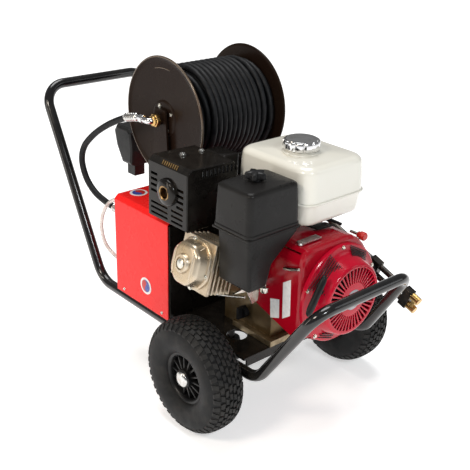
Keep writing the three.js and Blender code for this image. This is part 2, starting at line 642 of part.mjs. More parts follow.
function buildReel() {
  const { width, flangeR, coreR, hoseR } = REEL;
  const reel = new THREE.Group();
  reel.position.set(REEL.x, REEL.y, REEL.z);
  washer.add(reel);
  const half = width / 2;

  const drum = rod('x', coreR, -half + 2, half - 2, [0, 0, 0], 28);
  part(reel, 'reel_drum', drum, BLACK_SHEET);

  for (const [side, sign] of [['left', -1], ['right', 1]]) {
    const profile = [
      [0, half + 3], [40, half + 3], [44, half],
      [flangeR - 8, half], [flangeR - 4, half + 5], [flangeR, half + 3],
      [flangeR - 3, half - 2], [44, half - 2 + GAP], [0, half - 2 + GAP],
    ].map(([r, h]) => [r, sign * h]);
    const journal = [[0, -half - 21], [12.7, -half - 21], [12.7, -half - 3], [40, -half - 3]];
    if (sign < 0) profile.splice(0, 2, ...journal);
    part(reel, `reel_flange_${side}`, turned('x', profile, [0, 0, 0], 36), BLACK_SHEET);
  }

  const wound = [
    [coreR + GAP, -half + 4], [hoseR - 16, -half + 4], [hoseR - 16, -half + 44], [hoseR, -half + 52],
    [hoseR, half - 6], [coreR + GAP, half - 6],
  ];
  part(reel, 'hose_winding', turned('x', wound, [0, 0, 0], 32), RUBBER);

  const nut = rod('x', 17, -half - 32, -half - 21 - GAP, [0, 0, 0], 6);
  const stem = rod('x', 8, -half - 52, -half - 31, [0, 0, 0], 12);
  const tail = rod('y', 7.5, -4, 42, [-half - 46, 0, 0], 12);
  const elbow = join(nut, stem, tail);
  part(reel, 'reel_swivel', elbow, BRASS);

  const crankX = half + 3 + GAP;
  const hub = rod('x', 12.7, crankX, crankX + 22, [0, 0, 0], 20);
  const arm = box([crankX + 16, crankX + 22], [-9, 9], [-9, 84]);
  const spindle = rod('x', 5, crankX + 21, crankX + 50, [0, 0, 75], 12);
  part(reel, 'reel_crank', join(hub, arm, spindle), BLACK_SHEET);
  const grip = [[5.4, 23], [10, 23], [12.5, 30], [10.5, 48], [5.4, 48]].map(([r, h]) => [r, crankX + h]);
  part(reel, 'reel_crank_grip', turned('x', grip, [0, 0, 75], 14), BLACK_PLASTIC);
}

// ---- Hoses and detergent bottle -----------------------------------------------------------

function buildHoses() {
  part(washer, 'link_hose', hose(LINK_HOSE, 8, 10, 26), RUBBER);
  part(washer, 'detergent_hose', hose(DETERGENT_HOSE, 4.5, 8, 24), CLEAR_PVC);
  const { x: [x0, x1], y: [y0, y1], z: [z0, z1] } = BOTTLE;
  const side = [
    [y0 + 4, z0 + 30], [y0, z0 + 70], [y0 + 6, z1 - 10], [y0 + 20, z1],
    [y1 - 12, z1], [y1, z1 - 18], [y1 - 10, z0 + 70], [y1 - 34, z0 + 30],
  ];
  const neck = box([x0 + 14, x1 - 14], [y0 + 10, y1 - 40], [z0, z0 + 32]);
  part(washer, 'detergent_bottle', join(extruded('x', side, x0, x1, 8, 2), neck), BLACK_PLASTIC);
}

// ---- Lance and gun ------------------------------------------------------------------------

function buildLance() {
  const lance = new THREE.Group();
  lance.position.set(LANCE.x, LANCE.y, LANCE.z);
  lance.rotation.x = LANCE.slope;
  washer.add(lance);
  const rear = 330;
  const front = -98;
  const upper = rod('y', 7, front, rear, [0, 0, 0], 12);
  const lower = rod('y', 7, front, 0, [0, 0, -27], 12);
  const bridge = box([-9, 9], [-12, 18], [-37, 10]);
  const head = box([-9, 9], [front - 18, front + 4], [-37, 10]);
  part(lance, 'lance_tubes', join(upper, lower, bridge, head), STEEL);
  const nozzles = join(
    rod('y', 9, front - 40, front - 18 - GAP, [0, 0, 0], 12),
    rod('y', 9, front - 40, front - 18 - GAP, [0, 0, -27], 12),
    box([-6, 6], [front - 34, front - 24], [-28, 2]),
  );
  part(lance, 'lance_nozzles', nozzles, BRASS);
  const knob = [[0, 0], [13, 0], [14, -6], [12, -20], [13, -52], [15, -58], [12, -64], [0, -64]];
  const grip = turned('x', knob, [0, 0, 0], 16);
  part(lance, 'lance_valve_grip', grip, BLACK_PLASTIC, { at: [-9 - GAP, 3, -12] });
  const seatZ = 383;
  const seatY = [178, 202];
  const holder = join(
    box([COVER.x + GAP, COVER.x + 5], seatY, [330, seatZ]),
    box([COVER.x + 1, LANCE.x + 16], seatY, [seatZ - 5, seatZ]),
    box([LANCE.x - 18, LANCE.x - 12], seatY, [seatZ - 1, seatZ + 20]),
    box([LANCE.x + 11, LANCE.x + 17], seatY, [seatZ - 3, seatZ + 20]),
  );
  part(washer, 'lance_holder', holder, BLACK_SHEET);

  const gunOutline = [
    [rear + GAP, -14], [rear + 96, -18], [rear + 128, -8],
    [rear + 122, 16], [rear + 90, 20], [rear + GAP, 14],
  ];
  const handle = [
    [rear + 92, -12], [rear + 126, -12], [rear + 138, -58],
    [rear + 132, -118], [rear + 108, -118], [rear + 110, -60],
  ];
  const body = join(extruded('x', gunOutline, -15, 15, 3, 1), extruded('x', handle, -13, 13, 3, 1));
  const slot = box([-4.5, 4.5], [rear + 56, rear + 106], [-40, -2]);
  part(lance, 'gun_body', cut(body, slot), BLACK_PLASTIC);
  const blade = [[0, 0], [10, 0], [14, -40], [6, -86], [-2, -84], [4, -42], [-4, -10]];
  const trigger = extruded('x', blade, -3.8, 3.8);
  part(lance, 'gun_trigger', trigger, RED_PLASTIC, { at: [0, rear + 74, -6] });
}

// ---- Build everything ---------------------------------------------------------------------

buildFrame();
buildStand();
buildWheel('left', -1);
buildWheel('right', 1);
buildCrankcase();
buildCylinder();
buildCrankshaft();
buildShroud();
buildRecoil();
buildTank();
buildAirCleaner();
buildMuffler();
buildEngineFittings();
buildDrive();
buildPump();
buildCovers();
buildReelStand();
buildReel();
buildHoses();
buildLance();

export default washer;
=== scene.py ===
"""Looks of the petrol pressure washer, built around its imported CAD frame.

Shapes are drawn in the CAD drawing's own millimetres, with the axle over y = 0 and the ground at
z = 0. The function row() takes such a point to the row frame, in metres.
"""

from math import cos, pi, radians, sin, sqrt, tan

import bmesh
import bpy
from mathutils import Matrix, Vector


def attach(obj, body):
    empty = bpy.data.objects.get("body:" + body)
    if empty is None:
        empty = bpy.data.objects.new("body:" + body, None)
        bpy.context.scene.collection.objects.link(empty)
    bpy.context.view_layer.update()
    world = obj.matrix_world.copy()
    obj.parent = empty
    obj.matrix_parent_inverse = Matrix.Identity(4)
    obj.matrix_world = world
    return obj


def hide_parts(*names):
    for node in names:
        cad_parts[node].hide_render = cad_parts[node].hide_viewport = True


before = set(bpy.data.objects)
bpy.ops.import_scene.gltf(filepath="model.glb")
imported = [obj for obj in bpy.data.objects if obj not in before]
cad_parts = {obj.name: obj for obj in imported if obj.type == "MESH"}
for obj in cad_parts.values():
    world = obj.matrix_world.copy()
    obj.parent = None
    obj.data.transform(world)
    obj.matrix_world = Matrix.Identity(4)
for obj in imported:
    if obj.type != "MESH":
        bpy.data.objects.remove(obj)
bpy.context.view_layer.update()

MID_Y = 228.0  # the drawing's y at the row frame's origin
TAU = 2 * pi


def row(point):
    """A point of the drawing, in the row frame's metres."""
    x, y, z = point
    return Vector((x, y - MID_Y, z)) / 1000


def added(name, data):
    """A new object that holds the data, linked to the scene."""
    thing = bpy.data.objects.new(name, data)
    bpy.context.scene.collection.objects.link(thing)
    return thing


# ---- Camera ----

CAMERA_AT = Vector((-1.1974, -1.4255, 1.1438))
FORWARD = Vector((0.6089, 0.6810, -0.4067)).normalized()
UP_HINT = Vector((0.2502, 0.3217, 0.9131))

camera_data = bpy.data.cameras.new("camera")
camera_data.lens = 64.43
camera_data.sensor_width = 36
camera = added("camera", camera_data)
right = FORWARD.cross(UP_HINT).normalized()
up = right.cross(FORWARD)
axes = Matrix((right, up, -FORWARD)).transposed()
camera.matrix_world = Matrix.Translation(CAMERA_AT) @ axes.to_4x4()
bpy.context.scene.camera = camera

# ---- Materials ----


def set_inputs(node, values):
    for name, value in values.items():
        node.inputs[name].default_value = value


class Finish:
    """A procedural material: base colour that drifts, roughness that varies, and fine relief."""

    def __init__(self, name, colour, rough, metallic=0.0, coat=0.0, edge=2.0, specular=0.5):
        self.material = bpy.data.materials.new(name)
        self.material.use_nodes = True
        tree = self.material.node_tree
        self.nodes = tree.nodes
        self.links = tree.links
        self.shader = self.nodes["Principled BSDF"]
        set_inputs(self.shader, {
            "Metallic": metallic, "Coat Weight": coat, "Coat Roughness": 0.08,
            "Specular IOR Level": specular,
        })
        self.where = self.nodes.new("ShaderNodeTexCoord").outputs["Object"]
        self.colour = self.constant(colour)
        self.rough = rough
        self.normal = None
        if edge:
            bevel = self.node("Bevel", {"Radius": edge / 1000})
            bevel.samples = 4
            self.normal = bevel.outputs["Normal"]

    def node(self, kind, values):
        node = self.nodes.new("ShaderNode" + kind)
        set_inputs(node, values)
        return node

    def constant(self, colour):
        node = self.nodes.new("ShaderNodeRGB")
        node.outputs[0].default_value = (*colour, 1)
        return node.outputs[0]

    def noise(self, scale, detail=3.0, stretch=None):
        node = self.node("TexNoise", {"Scale": scale, "Detail": detail, "Roughness": 0.55})
        where = self.where
        if stretch:
            mapping = self.node("Mapping", {"Scale": stretch})
            self.links.new(where, mapping.inputs["Vector"])
            where = mapping.outputs["Vector"]
        self.links.new(where, node.inputs["Vector"])
        return node.outputs["Fac"]

    def ramp(self, value, low, high, out_low=0.0, out_high=1.0):
        node = self.node("MapRange", {
            "From Min": low, "From Max": high, "To Min": out_low, "To Max": out_high,
        })
        self.links.new(value, node.inputs["Value"])
        return node.outputs["Result"]

    def mix(self, factor, other):
        node = self.nodes.new("ShaderNodeMix")
        node.data_type = "RGBA"
        self.links.new(factor, node.inputs["Factor"])
        self.links.new(self.colour, node.inputs["A"])
        self.links.new(other, node.inputs["B"])
        self.colour = node.outputs["Result"]
        return self

    def drift(self, colour, scale, low=0.45, high=0.7, most=1.0):
        """Patches of a second colour."""
        factor = self.ramp(self.noise(scale), low, high, 0.0, most)
        return self.mix(factor, self.constant(colour))

    def worn(self, colour, most):
        """The colour that shows on raised edges, broken up by noise."""
        point = self.nodes.new("ShaderNodeNewGeometry").outputs["Pointiness"]
        edge = self.ramp(point, 0.52, 0.6)
        patch = self.ramp(self.noise(60), 0.35, 0.65, 0.3, 1.0)
        both = self.nodes.new("ShaderNodeMath")
        both.operation = "MULTIPLY"
        self.links.new(edge, both.inputs[0])
        self.links.new(patch, both.inputs[1])
        return self.mix(self.ramp(both.outputs[0], 0, 1, 0, most), self.constant(colour))

    def relief(self, scale, height, stretch=None, kind="noise"):
        """Bumps of the given height in millimetres."""
        bump = self.node("Bump", {"Strength": 1.0, "Distance": height / 1000})
        if kind == "voronoi":
            node = self.node("TexVoronoi", {"Scale": scale})
            self.links.new(self.where, node.inputs["Vector"])
            value = node.outputs["Distance"]
        else:
            value = self.noise(scale, 2.0, stretch)
        self.links.new(value, bump.inputs["Height"])
        if self.normal:
            self.links.new(self.normal, bump.inputs["Normal"])
        self.normal = bump.outputs["Normal"]
        return self

    def done(self, vary=0.08, vary_scale=25.0):
        rough = self.noise(vary_scale, 4.0)
        spread = self.ramp(rough, 0.3, 0.7, max(self.rough - vary, 0.02), self.rough + vary)
        self.links.new(spread, self.shader.inputs["Roughness"])
        self.links.new(self.colour, self.shader.inputs["Base Color"])
        if self.normal:
            self.links.new(self.normal, self.shader.inputs["Normal"])
        return self.material


gloss_black = (
    Finish("gloss_black_coat", (0.006, 0.006, 0.0068), 0.16, coat=0.35, edge=0, specular=0.4)
    .drift((0.018, 0.016, 0.014), 14).relief(500, 0.05).done(0.05)
)
satin_black = (
    Finish("satin_black_paint", (0.0055, 0.0048, 0.0044), 0.15, edge=1.5, specular=0.22)
    .drift((0.013, 0.0115, 0.01), 20).worn((0.03, 0.026, 0.022), 0.4).relief(700, 0.05).done(0.08)
)
flange_black = (
    Finish("reel_black_paint", (0.0145, 0.0078, 0.0052), 0.28, edge=0, specular=0.07)
    .drift((0.019, 0.0118, 0.0078), 9, 0.4, 0.75).relief(420, 0.06).done(0.07, 12)
)
# Painted highlight: the rolled rim of the black reel flange, coloured a lighter beige to stand for the light
# along its edge.
rim_painted_highlight = (
    Finish("reel_rim_painted_highlight", (0.11, 0.083, 0.058), 0.28, metallic=0.3, coat=0.3, edge=0)
    .drift((0.12, 0.075, 0.045), 12, 0.4, 0.7).relief(420, 0.05).done(0.08)
)
tyre_rubber = (
    Finish("tyre_rubber", (0.0085, 0.0088, 0.0095), 0.6, edge=0, specular=0.2)
    .drift((0.019, 0.018, 0.017), 35, 0.45, 0.7).worn((0.03, 0.029, 0.027), 0.6)
    .relief(900, 0.18).done(0.08)
)
# Black moulded plastic; the same finish paints the shade inside the recoil's louvre slots.
moulded_black_and_slot_shade = (
    Finish("moulded_black_and_slot_shade", (0.009, 0.0092, 0.0098), 0.36, edge=1.2, specular=0.22)
    .drift((0.018, 0.018, 0.0185), 22).relief(1600, 0.09).done(0.06)
)
air_box_black = (
    Finish("air_box_plastic", (0.0125, 0.0118, 0.0115), 0.3, edge=0, specular=0.13)
    .drift((0.017, 0.0165, 0.016), 16).relief(1500, 0.1).done(0.05)
)
wheel_black = (
    Finish("wheel_plastic", (0.0085, 0.0085, 0.0092), 0.34, edge=0, specular=0.25)
    .drift((0.028, 0.027, 0.026), 28).relief(1300, 0.08).done(0.08)
)
hose_black = (
    Finish("hose_cover", (0.0068, 0.0075, 0.009), 0.5, edge=0, specular=0.22)
    .drift((0.015, 0.0155, 0.017), 45).relief(420, 0.28, kind="voronoi").relief(1500, 0.08).done(0.07)
)
foot_rubber = (
    Finish("foot_rubber", (0.02, 0.02, 0.02), 0.75, edge=1.0)
    .drift((0.04, 0.037, 0.034), 40).relief(900, 0.1).done()
)
belt_rubber = (
    Finish("belt_rubber", (0.014, 0.014, 0.014), 0.7, edge=0.5)
    .drift((0.03, 0.029, 0.028), 60).relief(700, 0.12).done()
)
cast_alu = (
    Finish("cast_aluminium", (0.42, 0.33, 0.22), 0.36, metallic=0.85, edge=2.5)
    .drift((0.24, 0.17, 0.1), 18, 0.4, 0.72, 0.75).worn((0.8, 0.74, 0.62), 0.5)
    .relief(520, 0.22).relief(1500, 0.06).done(0.08)
)
rocker_alu = (
    Finish("rocker_cover_cast", (0.5, 0.43, 0.33), 0.3, metallic=0.8, edge=0)
    .drift((0.5, 0.36, 0.2), 14, 0.42, 0.7, 0.8).worn((0.95, 0.9, 0.8), 0.5)
    .relief(650, 0.14).done(0.08)
)
# Cast aluminium made dark brown: painted shade and painted warm reflection, not the metal's own tone.
sump_alu_painted_shade = (
    Finish("sump_cast_painted_shade", (0.13, 0.085, 0.035), 0.38, metallic=0.75, edge=2.5)
    .drift((0.09, 0.06, 0.03), 22, 0.4, 0.7, 0.8).worn((0.55, 0.45, 0.3), 0.5)
    .relief(480, 0.25).done(0.1)
)
bright_steel = (
    Finish("bright_steel", (0.62, 0.62, 0.61), 0.24, metallic=1.0, edge=0.6)
    .drift((0.45, 0.43, 0.4), 60).relief(900, 0.03, stretch=(1, 1, 12)).done(0.08)
)
dark_steel = (
    Finish("blackened_steel", (0.05, 0.046, 0.043), 0.3, metallic=0.9, edge=0.8)
    .drift((0.12, 0.1, 0.085), 45, 0.45, 0.75).relief(700, 0.05).done(0.1)
)
hot_steel = (
    Finish("hot_steel", (0.07, 0.05, 0.038), 0.45, metallic=0.8, edge=1.5)
    .drift((0.2, 0.12, 0.06), 30, 0.45, 0.7).relief(800, 0.1).done(0.1)
)
heat_brass = (
    Finish("heat_tinted_steel", (0.42, 0.26, 0.1), 0.3, metallic=1.0, edge=0)
    .drift((0.16, 0.1, 0.06), 70).relief(900, 0.05).done(0.1)
)
brass = (
    Finish("machined_brass", (0.66, 0.44, 0.17), 0.24, metallic=1.0, edge=0.7)
    .drift((0.5, 0.31, 0.11), 55).relief(1100, 0.03).done(0.08)
)
chrome = (
    Finish("chrome_plate", (0.74, 0.74, 0.75), 0.13, metallic=1.0, edge=0)
    .drift((0.62, 0.61, 0.6), 40).relief(260, 0.04).done(0.03)
)
engine_red = (
    Finish("engine_red_gloss", (0.36, 0.002, 0.012), 0.16, coat=0.12, edge=3.5, specular=0.25)
    .drift((0.28, 0.002, 0.009), 10).relief(260, 0.07).done(0.05)
)
recoil_red = (
    Finish("recoil_red_gloss", (0.5, 0.004, 0.024), 0.2, coat=0.1, edge=0, specular=0.25)
    .drift((0.44, 0.003, 0.02), 16).relief(300, 0.06).done(0.06)
)
cover_red = (
    Finish("cover_red_coat", (0.86, 0.016, 0.014), 0.27, edge=3.0, specular=0.2)
    .drift((0.8, 0.014, 0.012), 6).relief(480, 0.05).done(0.05)
)
plain_red = (
    Finish("red_plastic", (0.55, 0.02, 0.016), 0.35, edge=1.0)
    .drift((0.45, 0.015, 0.014), 40).relief(1300, 0.06).done()
)
tank_white = (
    Finish("tank_white_gloss", (0.79, 0.775, 0.7), 0.22, coat=0.5, edge=0)
    .drift((0.74, 0.715, 0.62), 5, 0.4, 0.75).relief(240, 0.06).done(0.05)
)
label_white = (
    Finish("label_white", (0.8, 0.8, 0.8), 0.35, edge=0)
    .drift((0.68, 0.69, 0.7), 120).relief(400, 0.04).done()
)
label_grey = (
    Finish("label_grey", (0.36, 0.37, 0.39), 0.3, edge=0)
    .drift((0.28, 0.29, 0.31), 70).relief(400, 0.04).done()
)
# Light grey, partly metallic plate: partly the aluminised steel's own tone, made light to paint the lamp's
# reflection seen in the muffler's slots.
liner_painted_reflection = (
    Finish("liner_steel_painted_reflection", (0.72, 0.73, 0.75), 0.5, metallic=0.4, edge=0)
    .drift((0.62, 0.63, 0.65), 60).relief(500, 0.05).done()
)
emblem_blue = (
    Finish("emblem_blue", (0.03, 0.06, 0.32), 0.3, edge=0)
    .drift((0.05, 0.09, 0.4), 150).relief(500, 0.03).done()
)
zinc = (
    Finish("zinc_plate", (0.66, 0.65, 0.6), 0.26, metallic=1.0, edge=0.4)
    .drift((0.52, 0.48, 0.38), 90).relief(900, 0.04).done(0.08)
)
filter_foam = (
    Finish("filter_foam", (0.16, 0.15, 0.12), 0.85, edge=1.0)
    .drift((0.1, 0.09, 0.07), 120).relief(600, 0.6, kind="voronoi").done()
)
clear_finish = Finish("clear_pvc", (0.86, 0.8, 0.76), 0.12, edge=0)
set_inputs(clear_finish.shader, {"Transmission Weight": 0.55, "IOR": 1.45})
clear_pvc = clear_finish.drift((0.7, 0.6, 0.55), 60).relief(300, 0.05).done(0.04)

# ---- Shells: lists of points in drawing millimetres and of faces ----


def merged(*shells):
    points, faces = [], []
    for shell_points, shell_faces in shells:
        start = len(points)
        points += shell_points
        faces += [[start + i for i in face] for face in shell_faces]
    return points, faces


def moved(shell, matrix):
    return [tuple(matrix @ Vector(p)) for p in shell[0]], shell[1]


def rings_shell(rings, closed=False):
    """Skins rings of equal length, and caps both ends unless the last ring joins the first."""
    size = len(rings[0])
    points = [p for ring in rings for p in ring]
    faces = []
    count = len(rings)
    for i in range(count if closed else count - 1):
        a, b = i * size, ((i + 1) % count) * size
        for k in range(size):
            m = (k + 1) % size
            faces.append([a + k, a + m, b + m, b + k])
    if not closed:
        faces.append(list(range(size))[::-1])
        faces.append([(count - 1) * size + k for k in range(size)])
    return points, faces


AXES = {
    "x": (Vector((1, 0, 0)), Vector((0, 1, 0)), Vector((0, 0, 1))),
    "y": (Vector((0, 1, 0)), Vector((0, 0, 1)), Vector((1, 0, 0))),
    "z": (Vector((0, 0, 1)), Vector((1, 0, 0)), Vector((0, 1, 0))),
}


def lathe(axis, profile, centre=(0, 0, 0), sides=48, closed=False):
    """Revolves [radius, height] points. A profile that isn't closed is capped at its ends."""
    along, one, two = AXES[axis]
    rings = []
    for radius, height in profile:
        ring = []
        for i in range(sides):
            turn = TAU * i / sides
            out = one * cos(turn) + two * sin(turn)
            ring.append(tuple(Vector(centre) + along * height + out * radius))
        rings.append(ring)
    return rings_shell(rings, closed=closed)


def sweep(path, radius, sides):
    """A round tube along a list of points. The radius may be a list, one for each point."""
    path = [Vector(p) for p in path]
    radii = radius if isinstance(radius, list) else [radius] * len(path)
    turns = [TAU * k / sides for k in range(sides)]
    side = None
    rings = []
    for i, here in enumerate(path):
        ahead = (path[min(i + 1, len(path) - 1)] - path[max(i - 1, 0)]).normalized()
        if side is None:
            side = ahead.orthogonal().normalized()
        side = (side - ahead * side.dot(ahead)).normalized()
        other = ahead.cross(side)
        rings.append([
            tuple(here + (side * cos(turn) + other * sin(turn)) * radii[i])
            for turn in turns
        ])
    return rings_shell(rings)


def polar(centre, radius, turn):
    """The pair at a radius and an angle from another pair."""
    return centre[0] + radius * cos(turn), centre[1] + radius * sin(turn)


def quarter(steps):
    """The sine, and one less the cosine, at equal steps through a quarter turn."""
    turns = [pi / 2 * i / steps for i in range(steps + 1)]
    return [(sin(turn), 1 - cos(turn)) for turn in turns]


def rounded(low, high, radius, steps):
    """A rounded rectangle as a list of pairs."""
    (a0, b0), (a1, b1) = low, high
    corners = [(a1 - radius, b0 + radius, -1), (a1 - radius, b1 - radius, 0),
               (a0 + radius, b1 - radius, 1), (a0 + radius, b0 + radius, 2)]
    outline = []
    for a, b, first in corners:
        for i in range(steps + 1):
            outline.append(polar((a, b), radius, (first + i / steps) * pi / 2))
    return outline


def box_rings(xs, ys, levels, steps):
    """Rounded rectangles, each level giving how far it is drawn in, its corners and its height."""
    rings = []
    for inset, radius, z in levels:
        low = (xs[0] + inset, ys[0] + inset)
        high = (xs[1] - inset, ys[1] - inset)
        rings.append([(a, b, z) for a, b in rounded(low, high, radius, steps)])
    return rings


def crowned(rings, centre, levels):
    """Adds rings that close in on a centre, each by a share and risen by a height."""
    return rings + [
        [(x + (centre[0] - x) * share, y + (centre[1] - y) * share, z + rise) for x, y, z in rings[-1]]
        for share, rise in levels
    ]


def place(axis, pair, height):
    """A pair on the plane across an axis: (y, z) for x, (x, z) for y, (x, y) for z."""
    a, b = pair
    return {"x": (height, a, b), "y": (a, height, b), "z": (a, b, height)}[axis]


def bevelled(shell, size, steps):
    """Rounds the edges sharper than 25 degrees."""
    bm = bmesh.new()
    corners = [bm.verts.new(p) for p in shell[0]]
    for face in shell[1]:
        bm.faces.new([corners[i] for i in face])
    bmesh.ops.recalc_face_normals(bm, faces=bm.faces)
    sharp = [e for e in bm.edges if e.is_manifold and e.calc_face_angle(0) > radians(25)]
    bmesh.ops.bevel(
        bm, geom=sharp, offset=size, segments=steps, profile=0.5, affect="EDGES", clamp_overlap=True
    )
    bm.verts.index_update()
    result = [tuple(v.co) for v in bm.verts], [[v.index for v in f.verts] for f in bm.faces]
    bm.free()
    return result


def prism(axis, outline, low, high, bevel=0, steps=2):
    shell = rings_shell([[place(axis, p, height) for p in outline] for height in (low, high)])
    return bevelled(shell, bevel, steps) if bevel else shell


def block(xs, ys, zs, bevel, steps=2):
    outline = [(xs[0], ys[0]), (xs[1], ys[0]), (xs[1], ys[1]), (xs[0], ys[1])]
    return prism("z", outline, zs[0], zs[1], bevel, steps)


def piece(name, shell, finish, body, stands_for=(), sharp=40):
    mesh = bpy.data.meshes.new(name)
    mesh.from_pydata([row(p) for p in shell[0]], [], shell[1])
    bm = bmesh.new()
    bm.from_mesh(mesh)
    bmesh.ops.remove_doubles(bm, verts=bm.verts, dist=2e-6)
    bmesh.ops.dissolve_degenerate(bm, edges=bm.edges, dist=1e-6)
    bmesh.ops.recalc_face_normals(bm, faces=bm.faces)
    bm.to_mesh(mesh)
    bm.free()
    mesh.shade_smooth()
    mesh.set_sharp_from_angle(angle=radians(sharp))
    mesh.materials.append(finish)
    thing = added(name, mesh)
    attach(thing, body)
    if stands_for:
        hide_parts(*stands_for)
    return thing


def frame_of(at, facing):
    """A matrix whose +X points along facing, at the given place."""
    turn = Vector((1, 0, 0)).rotation_difference(Vector(facing))
    return Matrix.Translation(Vector(at)) @ turn.to_matrix().to_4x4()


def bolt(at, facing, size):
    """A hexagon head on a washer, its seat at the given place."""
    r = size / 2
    washer = lathe("x", [(0, 0), (r * 1.55, 0), (r * 1.55, r * 0.22), (0, r * 0.22)], sides=20)
    head = bevelled(lathe("x", [(r * 1.12, r * 0.22), (r * 1.12, r * 0.9)], sides=6), r * 0.12, 2)
    return moved(merged(washer, head), frame_of(at, facing))


def screw(at, facing, size):
    """A round head with a dimple."""
    r = size / 2
    dome = [(0, 0), (r, 0), (r, r * 0.2), (r * 0.8, r * 0.5), (r * 0.45, r * 0.6), (r * 0.3, r * 0.3),
            (0, r * 0.3)]
    return moved(lathe("x", dome, sides=20), frame_of(at, facing))


# ---- Hoses ----


SPAN_STEPS = 24


def blend(a, b, low, high, t):
    return a * ((high - t) / (high - low)) + b * ((t - low) / (high - low))


def smooth_path(points, count):
    """Evenly spaced points on a centripetal Catmull-Rom curve through the given ones."""
    p = [Vector(q) for q in points]
    p = [p[0] * 2 - p[1], *p, p[-1] * 2 - p[-2]]
    dense = []
    for i in range(1, len(p) - 2):
        knots = [0.0]
        for a, b in zip(p[i - 1:i + 2], p[i:i + 3]):
            knots.append(knots[-1] + (b - a).length ** 0.5)
        t0, t1, t2, t3 = knots
        for k in range(SPAN_STEPS):
            t = t1 + (t2 - t1) * k / SPAN_STEPS
            a1 = blend(p[i - 1], p[i], t0, t1, t)
            a2 = blend(p[i], p[i + 1], t1, t2, t)
            a3 = blend(p[i + 1], p[i + 2], t2, t3, t)
            b1 = blend(a1, a2, t0, t2, t)
            b2 = blend(a2, a3, t1, t3, t)
            dense.append(blend(b1, b2, t1, t2, t))
    dense.append(p[-2])
    steps = [0.0]
    for a, b in zip(dense, dense[1:]):
        steps.append(steps[-1] + (b - a).length)
    even, k = [], 0
    for i in range(count + 1):
        want = steps[-1] * i / count
        while k < len(dense) - 2 and steps[k + 1] < want:
            k += 1
        share = (want - steps[k]) / max(steps[k + 1] - steps[k], 1e-9)
        even.append(dense[k].lerp(dense[k + 1], min(max(share, 0), 1)))
    return even


def hose_curve(name, points, diameter, finish, body, stands_for):
    """A round hose as a curve of one open line."""
    data = bpy.data.curves.new(name, "CURVE")
    data.dimensions = "3D"
    data.bevel_depth = diameter / 2000
    data.bevel_resolution = 4
    data.use_fill_caps = True
    line = data.splines.new("POLY")
    line.points.add(len(points) - 1)
    for knot, point in zip(line.points, points):
        knot.co = (*row(point), 1)
    line.use_smooth = True
    data.materials.append(finish)
    thing = added(name, data)
    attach(thing, body)
    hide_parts(*stands_for)
    return thing


REEL = Vector((76, 346, 586))
HALF = 125  # half the reel's width
HOSE_D = 14.5
WOUND_END = 0.35  # radians round the drum, which puts the coupling at the back
WOUND_PER_TURN = 28  # points
WOUND_LAYERS = 4
WOUND_PITCH = 14.95  # along the drum, from one turn to the next
WOUND_STEP = 15.0  # outwards, from one layer to the next
WOUND_FIRST_R = 68.7
WOUND_EDGE = 112.0  # where a full layer ends, from the drum's middle
WOUND_LAST_END = -74.0  # where the last layer ends
WOUND_STRETCH = 2.1  # pitches in a wide turn


def wound_stations():
    """The hose's place along the drum and its radius, at equal steps round it.

    Layers are a full hose apart, and each end has a wide turn, a climbing turn and a wide turn
    back, so that the hose never passes through itself.
    """
    x, r = -WOUND_EDGE, WOUND_FIRST_R
    stations = [(x, r)]
    for layer in range(WOUND_LAYERS):
        last = layer == WOUND_LAYERS - 1
        way = 1 if layer % 2 == 0 else -1
        end = WOUND_LAST_END if last else way * WOUND_EDGE
        wide = WOUND_STRETCH * WOUND_PITCH
        opening, closing = (wide if layer else 0), (0 if last else wide)
        middle = abs(end - x) - opening - closing
        for turns, length in ((1, opening), (middle / WOUND_PITCH, middle), (1, closing)):
            if length:
                count = round(turns * WOUND_PER_TURN)
                stations += [(x + way * length * i / count, r) for i in range(1, count + 1)]
                x += way * length
        if not last:
            for i in range(1, WOUND_PER_TURN + 1):
                t = i / WOUND_PER_TURN
                stations.append((x, r + WOUND_STEP * (3 * t * t - 2 * t ** 3)))
            r += WOUND_STEP
    return stations


def wound_hose():
    stations = wound_stations()
    first = WOUND_END - TAU * (len(stations) - 1) / WOUND_PER_TURN
    points = []
    for i, (x, r) in enumerate(stations):
        angle = first + TAU * i / WOUND_PER_TURN
        points.append((REEL.x + x, REEL.y + r * cos(angle), REEL.z + r * sin(angle)))
    return points


wound = wound_hose()
winding = hose_curve("wound_hose", wound, HOSE_D, hose_black, "reel", ["hose_winding"])
tail = Vector(wound[-1])
heading = (tail - Vector(wound[-3])).normalized()
coupling_profile = [
    (0, -6), (6.6, -6), (8.4, -4), (8.4, 14), (7.4, 16), (7.4, 18), (9.8, 19), (9.8, 28), (6.4, 29),
    (6.4, 33), (0, 33),
]
coupling = moved(lathe("x", coupling_profile, sides=24), frame_of(tail, heading))
wound_end = piece("wound_hose_coupling", coupling, brass, "reel")

LINK_HOSE = [
    (-95, 392, 586), (-98, 412, 583), (-106, 448, 569), (-117, 496, 543), (-127, 540, 510),
    (-135, 571, 474), (-139, 578, 440), (-143, 556, 400), (-145, 515, 373), (-145, 465, 361),
    (-145, 425, 358), (-145, 387, 358),
]
link_points = smooth_path(LINK_HOSE, 60)
link = hose_curve("link_hose_run", link_points, 16.0, hose_black, "chassis", ["link_hose"])


def ferrule(at, back, radius):
    """A crimped sleeve with its mouth at the given place, the hose leaving it along back."""
    profile = [(0, -4), (radius * 0.9, -4), (radius * 1.25, -2)]
    for i in range(6):
        profile += [(radius * 1.36, 1 + 6 * i), (radius * 1.36, 4 + 6 * i), (radius * 1.2, 5.5 + 6 * i)]
    profile += [(radius * 1.3, 38), (radius * 1.06, 42), (0, 42)]
    return moved(lathe("x", profile, sides=28), frame_of(at, back))


link_ends = piece(
    "link_hose_ferrules",
    merged(
        ferrule(link_points[0], (link_points[4] - link_points[0]), 8.0),
        ferrule(link_points[-1], (link_points[-5] - link_points[-1]), 8.0),
    ),
    bright_steel, "chassis",
)

